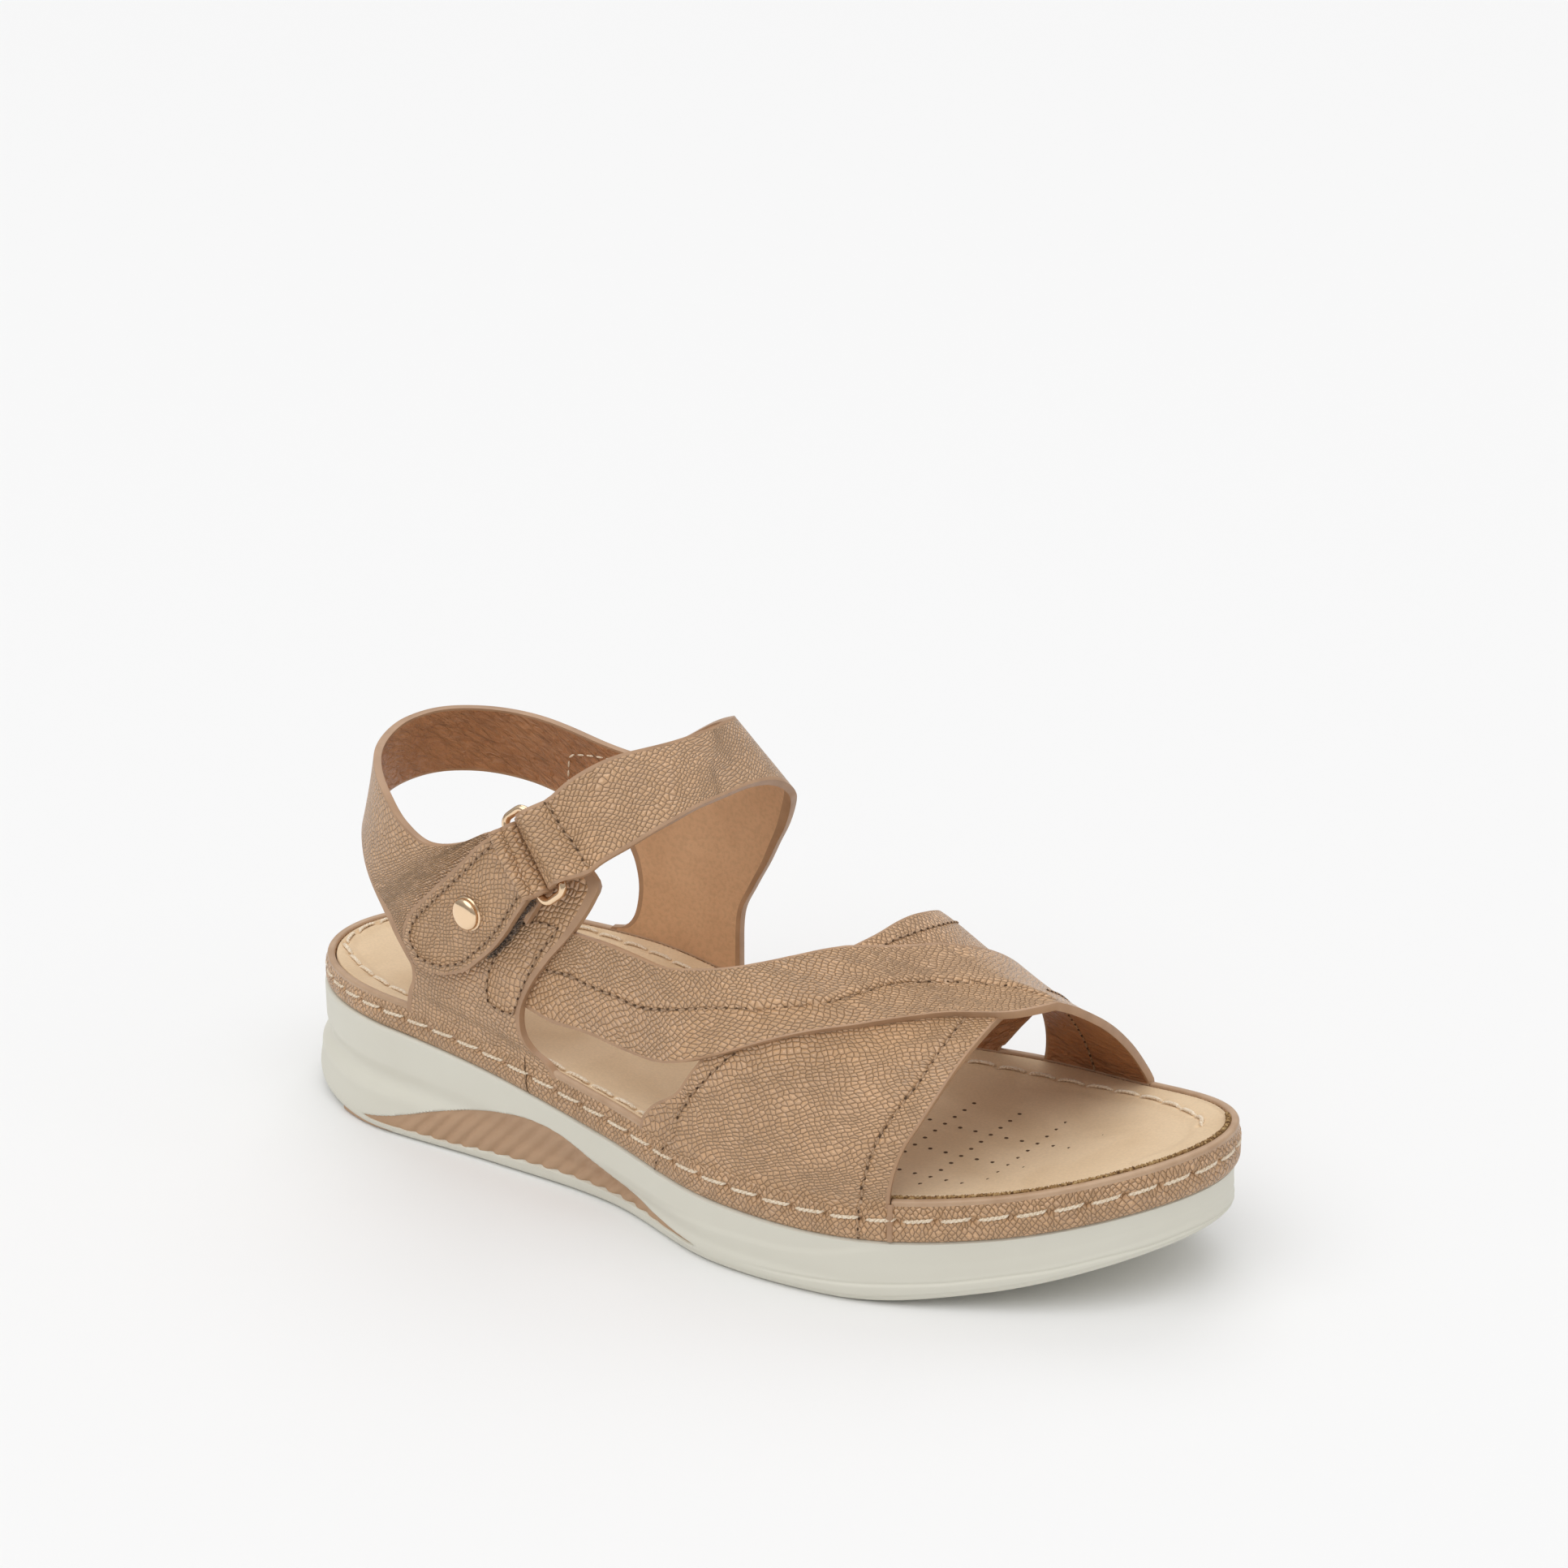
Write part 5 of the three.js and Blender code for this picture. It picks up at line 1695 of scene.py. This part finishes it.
# thick twisted thread: each stitch is a few slanted grains that dip at both ends
def twistedStitches(name, points, outs, pitch, radius):
    strands = []
    travelled = travelAlong(points)
    count = round(travelled[-1] / pitch)
    step = travelled[-1] / count
    for k in range(count):
        run, runOuts = [], []
        for g in range(twist["grains"] + 1):
            across = 2 * g / twist["grains"] - 1
            at = clamp((k + 0.5 + across * twist["share"] / 2) * step, 0, travelled[-1])
            spot, out, ahead = placeOnLine(points, outs, travelled, at)
            drift = out.cross(ahead).normalized() * (twist["drift"] * across)
            run.append(spot + out * (twist["rise"] - twist["dip"] * across ** 4) + drift)
            runOuts.append(out)
        strands.append((run, runOuts, twist["share"] * step / twist["grains"]))
    mesh = stitchMesh(strands, twist["grainShare"], radius, slant=twist["slant"])
    finishPiece(name, mesh, [finish["creamThread"]])


def addRuns(name, runs):
    look = dict(seamLooks[name])
    material = finish[look.pop("material")]
    finishPiece(name, stitchMesh(runs, **look), [material])


strapSeams += [bandCross((0.528, 0.545), (0.06, 0.95)), bandCross((0.7475, 0.748), (0.06, 0.95))]
addRuns("strapStitches", strapSeams)
addRuns("stitchHoles", strapSeams)
slingSeam = strapRun(quarterLines, onLines(quarterLines, slingBox), inwards)
overLiningSeam = strapRun(overLines, onLines(overLines, overInnerSeam), inwards)
addRuns("liningStitches", [slingSeam])
addRuns("liningThread", [overLiningSeam])
addRuns("liningHoles", [overLiningSeam])
# the butt seam is a thin line of near-black grains across the band: painted shade in its groove
notch = bandCross((0.357, 0.352), (0.02, 0.99))
addRuns("buttSeams", [(*notch[:2], 0.6)])
strapEnd = {
    "width": 1.1,
    "turnLength": 640,  # millimetres to a turn of the outline, at this place
    "proud": 0.42,
    "thickness": 0.3,
    "section": [(0.0, -0.3), (0.0, 0.75), (0.12, 1.0), (0.5, 1.06), (0.85, 0.95), (1.0, 0.6), (1.02, -0.3)],
}


# cut edge of the under strap, standing on the band down to the sole
def buildStrapEnd():
    lines = []
    for k in range(25):
        share = mix(0.01, 0.93, k / 24)
        line = []
        for across, proud in strapEnd["section"]:
            turn = toeTo + (0.35 - across) * strapEnd["width"] / strapEnd["turnLength"]
            line.append(bandSpot(turn, share, strapEnd["proud"] * proud))
        lines.append(line)
    sideways = Vector((0.2, -1, 0))
    piece = finishPiece(
        "strapEnd", gridMesh(lines), [finish["edgePaint"]], outwards=lambda spot: sideways
    )
    addWall(piece, strapEnd["thickness"], -1)


buildStrapEnd()
twistedStitches("bandStitches", *bandRun(), band["threadRadius"])
ups = [Vector((0, 0, 1))] * len(footbedLine)
twistedStitches("footbedStitches", footbedLine, ups, footbed["stitchPitch"], footbed["threadRadius"])
pile = {
    "loops": 420,
    "length": 0.9,
    "radius": 0.16,
    "along": (0.42, 0.99),
    "past": 0.1,
    "below": 1.9,
    "spread": 0.7,
    "unevenness": 0.75,
}


# rough loops of the closing patch, showing below the tab's lower edge
def buildPile():
    mesh = bmesh.new()
    last = len(tabBody) - 1
    size = Matrix.Diagonal((pile["radius"], pile["radius"], pile["length"] / 2, 1)) * 0.001
    size[3][3] = 1
    for k in range(pile["loops"]):
        row = mix(*pile["along"], (k + 0.5) / pile["loops"]) * last
        i = int(row)
        edge, inner = [tabBody[i][j].lerp(tabBody[min(i + 1, last)][j], row - i) for j in (-1, -4)]
        spot = edge + (edge - inner).normalized() * (pile["past"] + jitter(k + 0.3, pile["spread"]))
        spot = spot - ring["out"] * (pile["below"] + jitter(k + 0.7, pile["unevenness"]))
        turn = Matrix.Rotation(jitter(k, 3.0), 4, "X") @ Matrix.Rotation(jitter(k + 0.5, 3.0), 4, "Y")
        place = Matrix.Translation(toModel(spot)) @ turn @ size
        bmesh.ops.create_uvsphere(mesh, u_segments=6, v_segments=4, radius=1.0, matrix=place)
    finishPiece("loopPile", mesh, [finish["loopPile"]])


buildPile()
print("stage: stitches")


# floor, light and camera; directions are azimuth and elevation in degrees
view = {
    "lens": 67.1,
    "distance": 0.714941,
    "from": (35.033, 24.848),
    "towards": (34.150, 18.964),
    "target": (125, 0, 20),
}


def backwards(azimuth, elevation):
    a, e = math.radians(azimuth), math.radians(elevation)
    return Vector((math.sin(a) * math.cos(e), -math.cos(a) * math.cos(e), math.sin(e)))


def addCamera():
    camera = addObject("camera", bpy.data.cameras.new("camera"))
    camera.data.lens = view["lens"]
    camera.data.sensor_width = 36
    camera.data.clip_start = 0.01
    camera.data.clip_end = 50
    back = backwards(*view["towards"])
    azimuth = math.radians(view["towards"][0])
    right = Vector((math.cos(azimuth), math.sin(azimuth), 0))
    spot = Matrix((right, back.cross(right), back)).transposed().to_4x4()
    spot.translation = toModel(view["target"]) + backwards(*view["from"]) * view["distance"]
    camera.matrix_world = spot
    bpy.context.scene.camera = camera


def addFloor():
    mesh = bmesh.new()
    bmesh.ops.create_grid(mesh, x_segments=1, y_segments=1, size=30)
    paper = newMaterial("paleFloor", (0.90, 0.90, 0.90), 0.9)[0]
    floor = meshObject("floor", mesh, [paper])


lights = {
    "backLight": {"azimuth": 208, "elevation": 52, "angle": 40, "power": 0.45},
    "mainLight": {"azimuth": -12, "elevation": 57, "angle": 60, "power": 1.00},
    "toeLight": {"azimuth": 95, "elevation": 55, "angle": 50, "power": 0.42},
}


# broad soft light, even over the whole floor
def addLight(name, azimuth, elevation, angle, power):
    lamp = bpy.data.lights.new(name, "SUN")
    lamp.angle = math.radians(angle)
    lamp.energy = power
    light = addObject(name, lamp)
    light.rotation_euler = backwards(azimuth, elevation).to_track_quat("Z", "Y").to_euler()


skyLight = {"strength": 0.715, "shades": ((0.0, 0.40), (0.35, 0.60), (1.0, 1.0))}


def addSky():
    world = bpy.data.worlds.new("studio")
    bpy.context.scene.world = world
    world.use_nodes = True
    tree = world.node_tree
    upwards = addNode(tree, "ShaderNodeTexCoord").outputs["Generated"]
    height = addNode(tree, "ShaderNodeSeparateXYZ", {0: upwards}).outputs["Z"]
    backdrop = tree.nodes["Background"].inputs
    tree.links.new(addRamp(tree, height, greyStops(*skyLight["shades"])), backdrop["Color"])
    backdrop["Strength"].default_value = skyLight["strength"]


addCamera()
addFloor()
for name, settings in lights.items():
    addLight(name, **settings)
addSky()
bpy.context.scene.view_settings.view_transform = "Standard"
print("stage: floor, light and camera")
